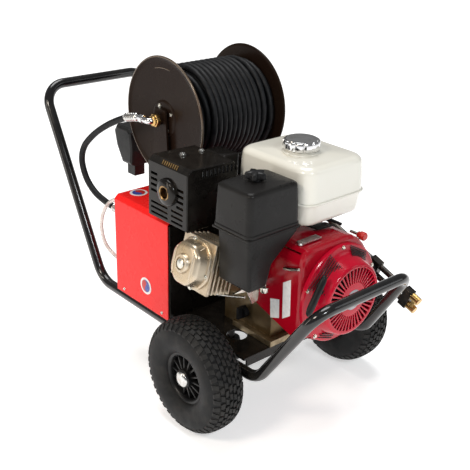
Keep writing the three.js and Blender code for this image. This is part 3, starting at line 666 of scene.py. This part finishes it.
DETERGENT_HOSE = [
    (-150, 376, 395), (-154, 394, 392), (-160, 424, 376), (-166, 446, 340), (-168, 452, 300),
    (-166, 440, 262), (-160, 414, 240), (-154, 390, 232), (-150, 376, 230),
]
detergent_points = smooth_path(DETERGENT_HOSE, 44)
detergent = hose_curve(
    "detergent_hose_run", detergent_points, 9.0, clear_pvc, "chassis", ["detergent_hose"]
)

ELBOW_X = -95
swivel_nut = bevelled(lathe("x", [(16.5, -HALF - 32), (16.5, -HALF - 21.4)], REEL, 6), 1.2, 2)
swivel_collar = lathe("x", [
    (0, -HALF - 38), (9.5, -HALF - 38), (12.5, -HALF - 36), (12.5, -HALF - 31.5), (0, -HALF - 31.5),
], REEL, 32)
piece("swivel_nut", merged(swivel_nut, swivel_collar), brass, "chassis", ["reel_swivel"])
elbow_path = [
    Vector((ELBOW_X + 10 * (1 - rise), REEL.y + 10 * short, REEL.z)) for rise, short in quarter(8)
]
elbow_path.append(Vector((ELBOW_X, 388, REEL.z)))
elbow_nut = bevelled(lathe("y", [(10.6, 366), (10.6, 380)], (ELBOW_X, 0, REEL.z), 6), 0.8, 2)
piece("swivel_elbow", merged(sweep(elbow_path, 7.4, 28), elbow_nut), chrome, "chassis")

# ---- Frame tubes ----


BEND_STEPS = 14


def bent_path(corners, bends):
    """Straight runs with each inner corner rounded to its bend radius."""
    corners = [Vector(c) for c in corners]
    path = [corners[0]]
    for i in range(1, len(corners) - 1):
        here = corners[i]
        back = (corners[i - 1] - here).normalized()
        ahead = (corners[i + 1] - here).normalized()
        half = back.angle(ahead) / 2
        bend = bends[i - 1]
        centre = here + (back + ahead).normalized() * (bend / sin(half))
        start = here + back * (bend / tan(half)) - centre
        end = here + ahead * (bend / tan(half)) - centre
        sweep_angle = start.angle(end)
        for k in range(BEND_STEPS + 1):
            t = k / BEND_STEPS
            a = sin((1 - t) * sweep_angle) / sin(sweep_angle)
            b = sin(t * sweep_angle) / sin(sweep_angle)
            path.append(centre + start * a + end * b)
    path.append(corners[-1])
    return path


front_corners = [
    (-167, 59.8, 154.3), (-167, -126.8, 154.3), (-140, -257.5, 353.9),
    (140, -257.5, 353.9), (167, -126.8, 154.3), (167, 59.8, 154.3),
]
rear_corners = [
    (-167, 60.2, 154.3), (-167, 457.5, 154.3), (-160, 713.5, 603.9),
    (160, 713.5, 603.9), (167, 457.5, 154.3), (167, 60.2, 154.3),
]
TUBE_R = 12.5
for name, corners, bends, node in (
    ("bumper_tube", front_corners, [55, 45, 45, 55], "front_frame_tube"),
    ("handle_tube", rear_corners, [70, 58, 58, 70], "rear_frame_tube"),
):
    tube = sweep(bent_path(corners, bends), TUBE_R, 32)
    piece(name, tube, gloss_black, "chassis", [node])

# ---- Wheels ----

WHEEL_R = 130.0
WHEEL_X = 233
SIDES = (("left", -1), ("right", 1))
TREAD_COUNT = 44
TREAD_SUNK = 6.5
# Each row's inner and outer edges, as a radius and a distance from the tyre's middle, then how
# many blocks it is shifted round, and how much of its pitch a block fills.
TREAD_ROWS = [
    ((129.7, 1.2), (129.4, 8.8), 0.0, 0.66),
    ((129.2, 10.8), (128.2, 18.6), 0.5, 0.66),
    ((127.9, 20.6), (124.6, 28.6), 0.0, 0.66),
    ((123.6, 30.4), (114.6, 39.8), 0.5, 0.58),
]
RIM_RIBS = 14


def tread_block(x, edges, start, width, skew):
    """A raised block whose foot is sunk in the carcass and a little wider than its top."""
    top = []
    for (r, h), lean in zip(edges, (-skew, skew)):
        top += [(r, h, start + lean), (r, h, start + width + lean)]
    foot = [(r - TREAD_SUNK, h * 0.985, turn) for r, h, turn in top]
    rings = []
    for corners, spread in ((foot, 1.08), (top, 1.0)):
        middle = sum(turn for _, _, turn in corners) / 4
        ring = []
        for k in (0, 1, 3, 2):
            r, h, turn = corners[k]
            turn = middle + (turn - middle) * spread
            ring.append((x + h, r * cos(turn), WHEEL_R + r * sin(turn)))
        rings.append(ring)
    return rings_shell(rings)


def tyre_shell(x):
    """The carcass, and the raised blocks of its tread."""
    outer = [
        (57, 26), (58, 30), (61, 34), (66, 38), (73, 41.2), (81, 43.1), (90, 43.8), (98, 43.4),
        (106, 41.6), (112.5, 38.6), (117.6, 34.4), (121.4, 29), (123.8, 22), (125.1, 13), (125.6, 4),
    ]
    profile = outer + [(r, -h) for r, h in reversed(outer)]
    shells = [lathe("x", profile, (x, 0, WHEEL_R), 96, closed=True)]
    for sign in (-1, 1):
        stagger = 0.25 if sign > 0 else 0
        for inner, outer_edge, shift, fill in TREAD_ROWS:
            edges = [(r, h * sign) for r, h in (inner, outer_edge)]
            width = TAU / TREAD_COUNT * fill
            for i in range(TREAD_COUNT):
                start = TAU * (i + shift + stagger) / TREAD_COUNT
                skew = 0.012 * sign * (1 if i % 2 else -1)
                shells.append(tread_block(x, edges, start, width, skew))
    return merged(*shells)


def rim_shell(x):
    """A two-sided moulded rim: bead seats, fourteen spokes over a dark dished web, and a hub."""
    half = [
        (10.4, 33), (19, 33), (21, 31), (21.5, 20), (23, 3), (49, 3), (49.5, 24), (51, 27.5),
        (54, 29.5), (58.7, 29), (57.2, 26), (52, 24),
    ]
    profile = [(r, -h) for r, h in half] + [(51.5, 0)] + half[::-1]
    shells = [lathe("x", profile, (x, 0, WHEEL_R), 72, closed=True)]
    for sign in (-1, 1):
        rib = bevelled(rings_shell([
            [(sign * 2, 20.5, 2.6 * s), (sign * 25, 20.5, 1.9 * s), (sign * 21, 50, 2.3 * s),
             (sign * 2, 50, 3.0 * s)] for s in (-1, 1)
        ]), 0.9, 2)
        for i in range(RIM_RIBS):
            spin = Matrix.Rotation(TAU * i / RIM_RIBS, 4, "X")
            shells.append(moved(rib, Matrix.Translation((x, 0, WHEEL_R)) @ spin))
    return merged(*shells)


for side, sign in SIDES:
    x = sign * WHEEL_X
    body = f"{side}_wheel"
    piece(f"{side}_tyre_tread", tyre_shell(x), tyre_rubber, body, [f"{side}_tyre"], 30)
    piece(f"{side}_ribbed_rim", rim_shell(x), wheel_black, body, [f"{side}_rim"], 35)
    cap = [(0, 30.5), (17, 30.5), (18.6, 32.5), (18.4, 35), (16, 37.6), (10, 39.6), (0, 40.6)]
    cap_shell = lathe("x", [(r, sign * h) for r, h in cap], (x, 0, WHEEL_R), 40)
    piece(f"{side}_hub_cap", cap_shell, bright_steel, body)

# ---- Reel ----

FLANGE = [
    (13, HALF + 3.2), (38, HALF + 3.2), (41, HALF + 2.6), (44, HALF + 0.4), (131, HALF + 0.4),
    (136, HALF + 0.9), (139.5, HALF + 2.8), (142.5, HALF + 4.4), (145, HALF + 4.0), (146, HALF + 2.0),
    (145.2, HALF - 0.6), (143, HALF - 1.8), (137, HALF - 1.9), (13, HALF - 1.9),
]
ROLLED_EDGE = [
    (141.2, HALF + 3.6), (143, HALF + 4.7), (145.3, HALF + 4.1), (146.3, HALF + 2.0),
    (145.3, HALF + 1.9),
]
JOURNALS = {"left": (12.7, HALF + 21), "right": (13.2, HALF + 3.1)}  # radius, and where it ends
for side, sign in SIDES:
    r, end = JOURNALS[side]
    journal = [(0, HALF - 2), (r, HALF - 2), (r, end), (0, end)]
    journal, disc, edge = [[(r, sign * h) for r, h in p] for p in (journal, FLANGE, ROLLED_EDGE)]
    flange = merged(lathe("x", disc, REEL, 128, closed=True), lathe("x", journal, REEL, 40))
    node = f"reel_flange_{side}"
    piece(f"{node}_disc", flange, flange_black, "reel", [node], 30)
    # The rolled rim wears the painted highlight colour.
    piece(f"{node}_rim", lathe("x", edge, REEL, 128, closed=True), rim_painted_highlight, "reel",
          sharp=60)
    heads = []
    for i in range(4):
        turn = TAU * (i + 0.5) / 4 + 0.3
        at = REEL + Vector((sign * (HALF + 3.2), 31 * cos(turn), 31 * sin(turn)))
        heads.append(bolt(at, (sign, 0, 0), 7))
    piece(f"{node}_bolts", merged(*heads), zinc, "reel")

# A short bright arc on the left flange's face, in the rim's highlight colour: a painted highlight.
arc = [REEL + Vector((-HALF - 0.5, 118 * cos(t), 118 * sin(t)))
       for t in (radians(72 + 2.4 * k) for k in range(13))]
piece("reel_flange_left_painted_glint", sweep(arc, [0.6] + [1.3] * 11 + [0.6], 10), rim_painted_highlight, "reel")

# ---- Fuel tank ----

TANK_X = (-43.0, 151.0)
TANK_Y = (-120.0, 108.0)
CAP_AT = (35.0, -21.5)


def tank_shell():
    """A bowl, the seam round its middle, and a lid that rises to the neck."""
    levels = [(9 + 15 * (1 - rise), 22 + 6 * rise, 452 + 15 * short) for rise, short in quarter(8)]
    levels += [
        (4.5, 31, 500), (3.4, 32, 502), (0.8, 33, 502.3), (0, 33.4, 503.2), (0, 33.4, 505),
        (0.8, 33, 506), (3.0, 32, 506.4), (3.4, 32, 530), (5, 32, 560),
    ]
    levels += [(5.6 + 17 * short, 32 - 6 * short, 567 + 15 * rise) for rise, short in quarter(10)]
    rings = box_rings(TANK_X, TANK_Y, levels, 10)
    return rings_shell(crowned(rings, CAP_AT, ((0.16, 1.6), (0.34, 3.2), (0.52, 4.6))))


neck = lathe("z", [(0, 582), (41, 584), (41.5, 587), (38, 589.5), (34, 590.5), (33, 594), (0, 594)],
             (*CAP_AT, 0), 64)
piece("tank_body", merged(tank_shell(), neck), tank_white, "chassis", ["fuel_tank"], 50)


def cap_shell():
    """A plated cap with twelve finger flutes and a pressed top."""
    sides = 144
    flutes = 12
    rings = []
    for scale, z in (
        (0.9, 594.6), (0.985, 595.2), (1.0, 597), (1.0, 609), (0.985, 611.2), (0.95, 612.6), (0.9, 613.2)
    ):
        ring = []
        for i in range(sides):
            turn = TAU * i / sides
            wave = (turn * flutes / TAU) % 1.0
            dip = max(0.0, 1 - abs(wave - 0.78) / 0.17)
            ring.append((*polar(CAP_AT, (40 - 3.8 * dip ** 0.6) * scale, turn), z))
        rings.append(ring)
    dome = lathe("z", [
        (35.2, 612.5), (34.6, 614.3), (32.5, 615.2), (29, 614.6), (26, 613.6), (14, 614.6), (0, 615.2),
    ], (*CAP_AT, 0), 72)
    return merged(rings_shell(rings), dome)


piece("cap_fluted", cap_shell(), chrome, "tank_cap", ["fuel_cap"], 35)

# ---- Air cleaner ----

AIR_X = (-190.0, -46.0)
AIR_Y = (-112.0, 2.0)
KNOB_AT = (-122.0, -52.0)


def air_cover_shell():
    """A lid with a flange round its foot and a top that swells a little."""
    levels = [
        (0.6, 14, 470.4), (0, 14.6, 471), (0, 14.6, 476.6), (0.5, 14.2, 477.4), (1.6, 13.4, 478),
        (2.4, 13.4, 510), (4.0, 13.4, 548),
    ]
    levels += [(4.4 + 10 * short, 13.4 - 3 * short, 554 + 9.6 * rise) for rise, short in quarter(8)]
    rings = box_rings(AIR_X, AIR_Y, levels, 8)
    centre = (sum(AIR_X) / 2, sum(AIR_Y) / 2)
    return rings_shell(crowned(rings, centre, ((0.3, 0.9), (0.62, 1.6))))


piece("air_box_lid", air_cover_shell(), air_box_black, "chassis", ["air_cleaner_cover"], 50)

elbow_outline = [(-187, 470), (-49, 470), (-53, 455), (-120, 400), (-134, 352), (-184, 352)]
piece("air_box_base", merged(
    prism("y", elbow_outline, -109, -14, 7, 4),
    block((-189.5, -46.5), (-111.5, 1.5), (464, 469.8), 2, 2),
), air_box_black, "chassis", ["air_cleaner_elbow"], 45)

knob_turns = [TAU * i / 64 for i in range(64)]
knob_rings = [
    [(*polar(KNOB_AT, (18.5 + 4.5 * cos(5 * turn)) * scale, turn), z) for turn in knob_turns]
    for scale, z in ((0.8, 569), (1.0, 571), (1.0, 579), (0.92, 582.5), (0.62, 584.5), (0.1, 585))
]
seat = lathe("z", [(0, 565), (14, 565), (15, 567), (11, 570), (9, 573), (0, 573)], (*KNOB_AT, 0), 32)
piece("air_box_knob", merged(rings_shell(knob_rings), seat), moulded_black_and_slot_shade, "chassis",
      sharp=35)

# ---- Rocker cover ----

TILT = radians(15.4)
HEAD_AT = Vector((35, 42, 304.7))
HEAD_FACE = 242.0
cylinder_frame = Matrix.Translation(HEAD_AT) @ Matrix((
    (-cos(TILT), 0, -sin(TILT)), (0, 1, 0), (sin(TILT), 0, -cos(TILT)),
)).to_4x4()


def octagon(out, w, h, corner):
    """A soft-cornered octagon across the cylinder, at a distance out along it."""
    hard = [
        (-w + corner, -h), (w - corner, -h), (w, -h + corner), (w, h - corner),
        (w - corner, h), (-w + corner, h), (-w, h - corner), (-w, -h + corner),
    ]
    ring = []
    for i, here in enumerate(hard):
        before = Vector(hard[i - 1])
        after = Vector(hard[(i + 1) % 8])
        here = Vector(here)
        a = here.lerp(before, 0.28)
        b = here.lerp(after, 0.28)
        for k in range(5):
            t = k / 4
            p = a.lerp(here, t).lerp(here.lerp(b, t), t)
            ring.append((out, p.x, p.y))
    return ring


def rocker_shell():
    """The cover's flange and domed body, with two ribs and the boss of its plug."""
    f = HEAD_FACE
    rings = [octagon(f, 49, 53, 25), octagon(f + 0.8, 50, 54, 26), octagon(f + 6, 50, 54, 26),
             octagon(f + 6.8, 49, 53, 25.4), octagon(f + 7, 45, 49, 23.5), octagon(f + 20, 43, 47, 23)]
    for rise, short in quarter(6):
        size = 12 * short
        rings.append(octagon(f + 24 + 11 * rise, 42.4 - size, 46.4 - size, 22.6 - size * 0.6))
    boss = lathe("x", [(0, f + 30), (23, f + 33), (21, f + 36), (20.5, f + 40), (18.5, f + 42), (14, f + 42),
                       (13, f + 39), (6, f + 38.6), (0, f + 38.6)], (0, 0, 0), 48)
    ribs = [
        bevelled(rings_shell([
            [(f + 8, y + 1.6 * s, -45), (f + 36.2, y + 1.4 * s, -30), (f + 36.2, y + 1.4 * s, 30),
             (f + 8, y + 1.6 * s, 45)] for s in (-1, 1)
        ]), 0.8, 2) for y in (-28, 28)
    ]
    return moved(merged(rings_shell(rings), boss, *ribs), cylinder_frame)


piece("rocker_casting", rocker_shell(), rocker_alu, "chassis", ["rocker_cover"], 38)
rocker_bolts = [
    bolt((HEAD_FACE + 6.8, y, z), (1, 0, 0), 8) for y, z in ((-44, 14), (44, 14), (-8, 50.5), (8, -50.5))
]
cap_plug = lathe("x", [
    (0, HEAD_FACE + 38), (10, HEAD_FACE + 38), (10.5, HEAD_FACE + 42), (6, HEAD_FACE + 43.4),
    (0, HEAD_FACE + 43.4),
], (0, 0, 0), 32)
piece("rocker_bolts", moved(merged(cap_plug, *rocker_bolts), cylinder_frame), zinc, "chassis")

# ---- Recoil starter ----

CRANK = (35.0, 304.7)
CRANK_AT = (CRANK[0], 0, CRANK[1])
RECOIL_FRONT = -198.0
RECOIL_BARS = 40
# The flank of the starter's housing, as a radius and a y.
FLANK = [(81.5, -194), (88, -170), (91, -165), (96, -161.4), (104, -159.5), (112, -158)]
# Radius of the black strips that paint the louvre slots' shade.
SLOT_SHADE_R = 1.15


def recoil_shell():
    """A conical housing whose face is a ring of forty radial slots between a hub and a rim."""
    f = RECOIL_FRONT
    shell = lathe("y", [
        (72, f + 0.6), (74, f), (77, f), (80, f + 1.6), (81.5, f + 4), (88, -170), (91, -165),
        (96, -161.4), (104, -159.5), (110, -159), (112, -157), (112, -150.3), (100, -150.3),
        (100, -153), (90, -158), (83, -166), (76, f + 7), (72, f + 5),
    ], CRANK_AT, 96, closed=True)
    hub_profile = [(0, f - 0.2), (25, f - 0.2), (34, f), (38, f + 0.6), (38, f + 4), (0, f + 4)]
    shells = [shell, lathe("y", hub_profile, CRANK_AT, 64)]
    rings = []
    for reach, share in ((36.0, 0.27), (73.5, 0.19)):
        half = TAU * reach / RECOIL_BARS * share
        rings.append([(reach, f + 4, -half), (reach, f + 4, half), (reach, f + 0.3, half),
                      (reach, f + 0.3, -half)])
    bar = bevelled(rings_shell(rings), 0.5, 1)
    for i in range(RECOIL_BARS):
        spin = Matrix.Rotation(TAU * (i + 0.5) / RECOIL_BARS, 4, "Y")
        shells.append(moved(bar, Matrix.Translation(CRANK_AT) @ spin))
    return merged(*shells)


piece("recoil_grille", recoil_shell(), recoil_red, "chassis", ["recoil_cover"], 38)


def on_flank(radius, degrees):
    """A place on the starter housing's flank, at a radius and an angle from +X towards +Z."""
    for (r0, y0), (r1, y1) in zip(FLANK, FLANK[1:]):
        if radius <= r1:
            y = y0 + (y1 - y0) * (radius - r0) / (r1 - r0)
            break
    x, z = polar(CRANK, radius, radians(degrees))
    return Vector((x, y, z))


def slot_shade_strips(inner, outer, first, last, count):
    """Black strips across the housing's flank, spread between two radii and joining two angles. They paint
    the shade inside the louvre slots; the housing under them is solid.
    """
    shells = []
    for i in range(count):
        share = i / (count - 1)
        start, end = [on_flank(inner, a).lerp(on_flank(outer, a), share) for a in (first, last)]
        middle = start.lerp(end, 0.5) + Vector((0, -1.5, 0))
        shells.append(sweep([start, middle, end], [SLOT_SHADE_R, SLOT_SHADE_R * 1.1, SLOT_SHADE_R], 10))
    return merged(*shells)


# Painted shade: black strips where the louvre slots' dark insides show.
piece("recoil_louvre_shade", merged(
    slot_shade_strips(84, 108, 158, 110, 8), slot_shade_strips(88, 108, 78, 44, 7), slot_shade_strips(88, 106, 262, 236, 4)
), moulded_black_and_slot_shade, "chassis")
badge = lathe("y", [
    (0, RECOIL_FRONT - 1.2), (22, RECOIL_FRONT - 1.2), (23, RECOIL_FRONT - 0.6), (23, RECOIL_FRONT),
    (0, RECOIL_FRONT),
], CRANK_AT, 48)
piece("recoil_badge", badge, label_grey, "chassis")
recoil_screws = []
for degrees in (20, 90, 160, 230, 310):
    x, z = polar(CRANK, 106, radians(degrees))
    recoil_screws.append(bolt((x, -159.2, z), (0, -1, 0), 7))
piece("recoil_bolts", merged(*recoil_screws), zinc, "chassis")

GRIP_AT = Vector((-65, -184, 341))
GRIP_LEAN = radians(30)


def grip_shell():
    """A slender moulded pull handle, pinched at its middle."""
    turns = [TAU * k / 28 for k in range(28)]
    rings = []
    for i in range(25):
        share = i / 24
        along = -46 + 92 * share
        full = sqrt(max(1 - (2 * share - 1) ** 6, 0.02))
        wide = 8.6 * full * (0.9 + 0.1 * abs(2 * share - 1))
        deep = 7.6 * full
        rings.append([(wide * cos(turn), deep * sin(turn), along) for turn in turns])
    lean = Matrix.Translation(GRIP_AT) @ Matrix.Rotation(GRIP_LEAN, 4, "Y")
    return moved(rings_shell(rings), lean)


piece("grip_pull", grip_shell(), moulded_black_and_slot_shade, "starter_handle", ["starter_grip"], 60)

# ---- Labels, emblems and small fittings ----

piece("shroud_labels", merged(
    prism("x", [(-102, 256), (-124, 272), (-121, 356), (-99, 341)], -77.0, -76.05, 0.25, 1),
    prism("x", [(-66, 243), (-92, 253), (-90, 297), (-63, 289)], -77.0, -76.05, 0.25, 1),
), label_white, "chassis")


EMBLEM_R = 21.0
COVER_SIDE = 179.5
COVER_TOP = 417


def arc_points(centre, radius, start, end, steps=20):
    return [polar(centre, radius, start + (end - start) * i / steps) for i in range(steps + 1)]


def half_moon(centre, radius, start):
    """Half a disc whose straight side is drawn in to an S."""
    rim = arc_points(centre, radius, start, start + pi)
    ends = Vector(rim[0]), Vector(rim[-1])
    across = (ends[0] - ends[1]) / 2
    side = Vector((-across.y, across.x)) * 0.35
    middle = Vector(centre)
    wave = []
    for i in range(1, 16):
        t = -1 + 2 * i / 16
        wave.append(tuple(middle + across * t + side * sin(pi * t)))
    return rim + wave


def emblem(name, axis, centre, face, out):
    """A generic round badge in two colours, on a face square to an axis."""
    def plate(outline, low, high):
        return prism(axis, outline, *sorted((face + out * low, face + out * high)))

    disc = arc_points(centre, EMBLEM_R, 0, TAU * 63 / 64, 63)
    piece(f"{name}_disc", plate(disc, 0.0, 0.7), label_white, "chassis")
    for colour, finish, degrees in (("blue", emblem_blue, 75), ("red", plain_red, 255)):
        moon = half_moon(centre, EMBLEM_R * 0.74, radians(degrees))
        piece(f"{name}_{colour}", plate(moon, 0.7, 1.1), finish, "chassis")


emblem("side_emblem", "x", (250, 224), -COVER_SIDE, -1)
emblem("top_emblem", "z", (-128, 346), COVER_TOP, 1)

cover_screws = [
    screw((COVER_SIDE * side, y, 179), (side, 0, 0), 8) for side in (-1, 1) for y in (188, 341)
]
piece("cover_screws", merged(*cover_screws), zinc, "chassis")

# ---- Muffler fittings ----

OUTLET = (0, 140, 498)
deflector = lathe("x", [
    (15.5, -207.5), (26, -206), (30, -203), (31, -199), (31, -196.5), (26, -196.5), (24, -201),
    (15.5, -202),
], OUTLET, 56, closed=True)
piece("muffler_deflector", deflector, satin_black, "chassis")
throat_ring = lathe(
    "x", [(12.6, -206.8), (15.6, -208.2), (16.8, -206.6), (15.6, -198), (12.6, -198)], OUTLET, 48,
    closed=True,
)
piece("muffler_throat", throat_ring, heat_brass, "chassis")
muffler_screws = [bolt((-136, 166, 562.3), (0, 0, 1), 11), bolt((-84, 166, 561.0), (0, 0, 1), 9)]
piece("muffler_screws", merged(*muffler_screws), bright_steel, "chassis")
# A light plate behind the muffler's slots so that they read bright: aluminised steel tone with a painted
# reflection.
liner = block((-153, -64), (79.5, 80.5), (539, 553), 0.2)
piece("muffler_reflection_plate", liner, liner_painted_reflection, "chassis")
vents = [sweep([(-194.4, 112 + 7 * i, 554.6), (-187.2, 115 + 7 * i, 560.9)], 1.5, 10) for i in range(8)]
piece("muffler_vents", merged(*vents), heat_brass, "chassis")
side_guard = block((-55.6, -12), (122, 188), (446, 554), 4, 3)
piece("muffler_side_guard", side_guard, satin_black, "chassis")

# ---- Small fittings round the engine ----

bracket_outline = [(-186, 333), (-146, 327), (-130, 293), (-114, 296), (-110, 330), (-140, 340)]
bracket = prism("y", bracket_outline, -63.5, -60, 0.6, 1)
cup = lathe("z", [(0, 316), (7, 316), (9.5, 319), (9.5, 329), (6, 331), (4, 333), (4, 338), (0, 338)],
            (-104, -72, 0), 28)
piece("fuel_bowl_bracket", merged(bracket, cup), zinc, "chassis")
rod_path = smooth_path([(-150, 100, 268), (-152, 50, 280), (-151, -10, 297), (-146, -58, 312)], 24)
piece("governor_rod", sweep(rod_path, 2.6, 12), bright_steel, "chassis")
boot_path = smooth_path([(-150, 98, 392), (-158, 96, 372), (-150, 95, 350), (-136, 92, 336)], 20)
boot_radii = [7.0] * 9 + [5.0] * 6 + [4.0] * (len(boot_path) - 15)
piece("plug_boot", sweep(boot_path, boot_radii, 16), moulded_black_and_slot_shade, "chassis")
stop_lever = sweep([(-80, -103, 377), (-81, -124, 383), (-80, -145, 390)], [3.2, 4.2, 3.0], 14)
piece("stop_lever", stop_lever, zinc, "chassis")
linkage = sweep(smooth_path([(8, -62, 441), (40, -74, 445), (69, -84, 441), (84, -108, 434)], 20), 3.4, 14)
linkage_plate = prism("z", [(14, -66), (60, -80), (66, -104), (20, -98)], 434, 437, 0.6, 1)
piece("governor_linkage", merged(linkage, linkage_plate), moulded_black_and_slot_shade, "chassis")

CHOKE = (130, 0, 402)
dial_shaft = lathe("y", [(0, -120), (3.4, -120), (3.4, -96), (0, -96)], CHOKE, 20)
dial = lathe("y", [
    (0, -139), (7.5, -139), (9.5, -136.5), (9.5, -126), (7, -122.5), (7, -119), (0, -119),
], CHOKE, 24)
piece("choke_knob", dial, plain_red, "chassis")
piece("choke_shaft", dial_shaft, bright_steel, "chassis")

# ---- Finishes of the CAD nodes that stay ----

FINISH_OF = {
    satin_black: ["deck_plate", "axle", "rear_stand", "muffler_shield", "bulkhead", "reel_base",
                  "reel_drum", "reel_crank", "lance_holder"],
    flange_black: ["reel_arm_left", "reel_arm_right"],
    foot_rubber: ["stand_foot_left", "stand_foot_right"],
    moulded_black_and_slot_shade: ["recoil_pulley", "oil_filler_plug", "reel_crank_grip", "detergent_bottle",
                    "lance_valve_grip", "gun_body"],
    cast_alu: ["cylinder_head", "carburettor", "pump_crankcase"],
    # the crankcase takes the aluminium with painted shade and painted warm reflection
    sump_alu_painted_shade: ["crankcase"],
    bright_steel: ["crankshaft", "throttle_lever", "engine_pulley", "pump_pulley"],
    dark_steel: ["lance_tubes", "flywheel"],
    engine_red: ["fan_shroud"],
    filter_foam: ["air_filter"],
    hot_steel: ["muffler"],
    belt_rubber: ["drive_belt"],
    brass: ["pump_manifold", "unloader_valve", "pressure_outlet", "water_inlet", "lance_nozzles"],
    plain_red: ["pressure_knob", "gun_trigger"],
    cover_red: ["pump_cover"],
}
for finish, names in FINISH_OF.items():
    for name in names:
        for material_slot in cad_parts[name].material_slots:
            material_slot.material = finish

# ---- Floor and light ----

SPAN = 30.0
floor_mesh = bpy.data.meshes.new("floor")
floor_corners = [(-SPAN, -SPAN, 0), (SPAN, -SPAN, 0), (SPAN, SPAN, 0), (-SPAN, SPAN, 0)]
floor_mesh.from_pydata(floor_corners, [], [(0, 1, 2, 3)])
floor = added("floor", floor_mesh)
floor_paint = (
    Finish("studio_floor", (0.93, 0.93, 0.93), 0.6, edge=0)
    .drift((0.9, 0.9, 0.9), 2).relief(200, 0.02).done(0.05)
)
floor_shader = floor_paint.node_tree.nodes["Principled BSDF"]
set_inputs(floor_shader, {"Emission Color": (1, 1, 1, 1), "Emission Strength": 0.5})
floor_mesh.materials.append(floor_paint)


LIT = Vector((0, 0, 0.3))  # where every lamp points


def soft_light(name, at, size, power, colour):
    data = bpy.data.lights.new(name, "AREA")
    data.shape = "RECTANGLE"
    data.size, data.size_y = size
    data.energy = power
    data.color = colour
    lamp = added(name, data)
    lamp.location = at
    lamp.rotation_euler = (LIT - Vector(at)).to_track_quat("-Z", "Y").to_euler()


soft_light("key", (-2.2, -0.4, 2.2), (0.6, 0.5), 26, (1.0, 0.9, 0.78))
soft_light("front_key", (-0.6, -2.6, 2.3), (0.6, 0.35), 26, (0.93, 0.97, 1.0))
soft_light("front_right", (2.2, -2.4, 1.5), (0.8, 1.4), 5, (0.95, 0.98, 1.0))
soft_light("side_strip", (-2.8, 1.3, 1.2), (0.4, 1.8), 14, (1.0, 0.9, 0.78))
sun_data = bpy.data.lights.new("overhead", "SUN")
sun_data.energy = 1.8
sun_data.angle = radians(35)
sun = added("overhead", sun_data)
sun.rotation_euler = (radians(-14), radians(8), 0)
world = bpy.data.worlds.new("studio")
world.use_nodes = True
background = world.node_tree.nodes["Background"]
set_inputs(background, {"Color": (1, 1, 1, 1), "Strength": 0.22})
bpy.context.scene.world = world
bpy.context.scene.view_settings.view_transform = "Standard"
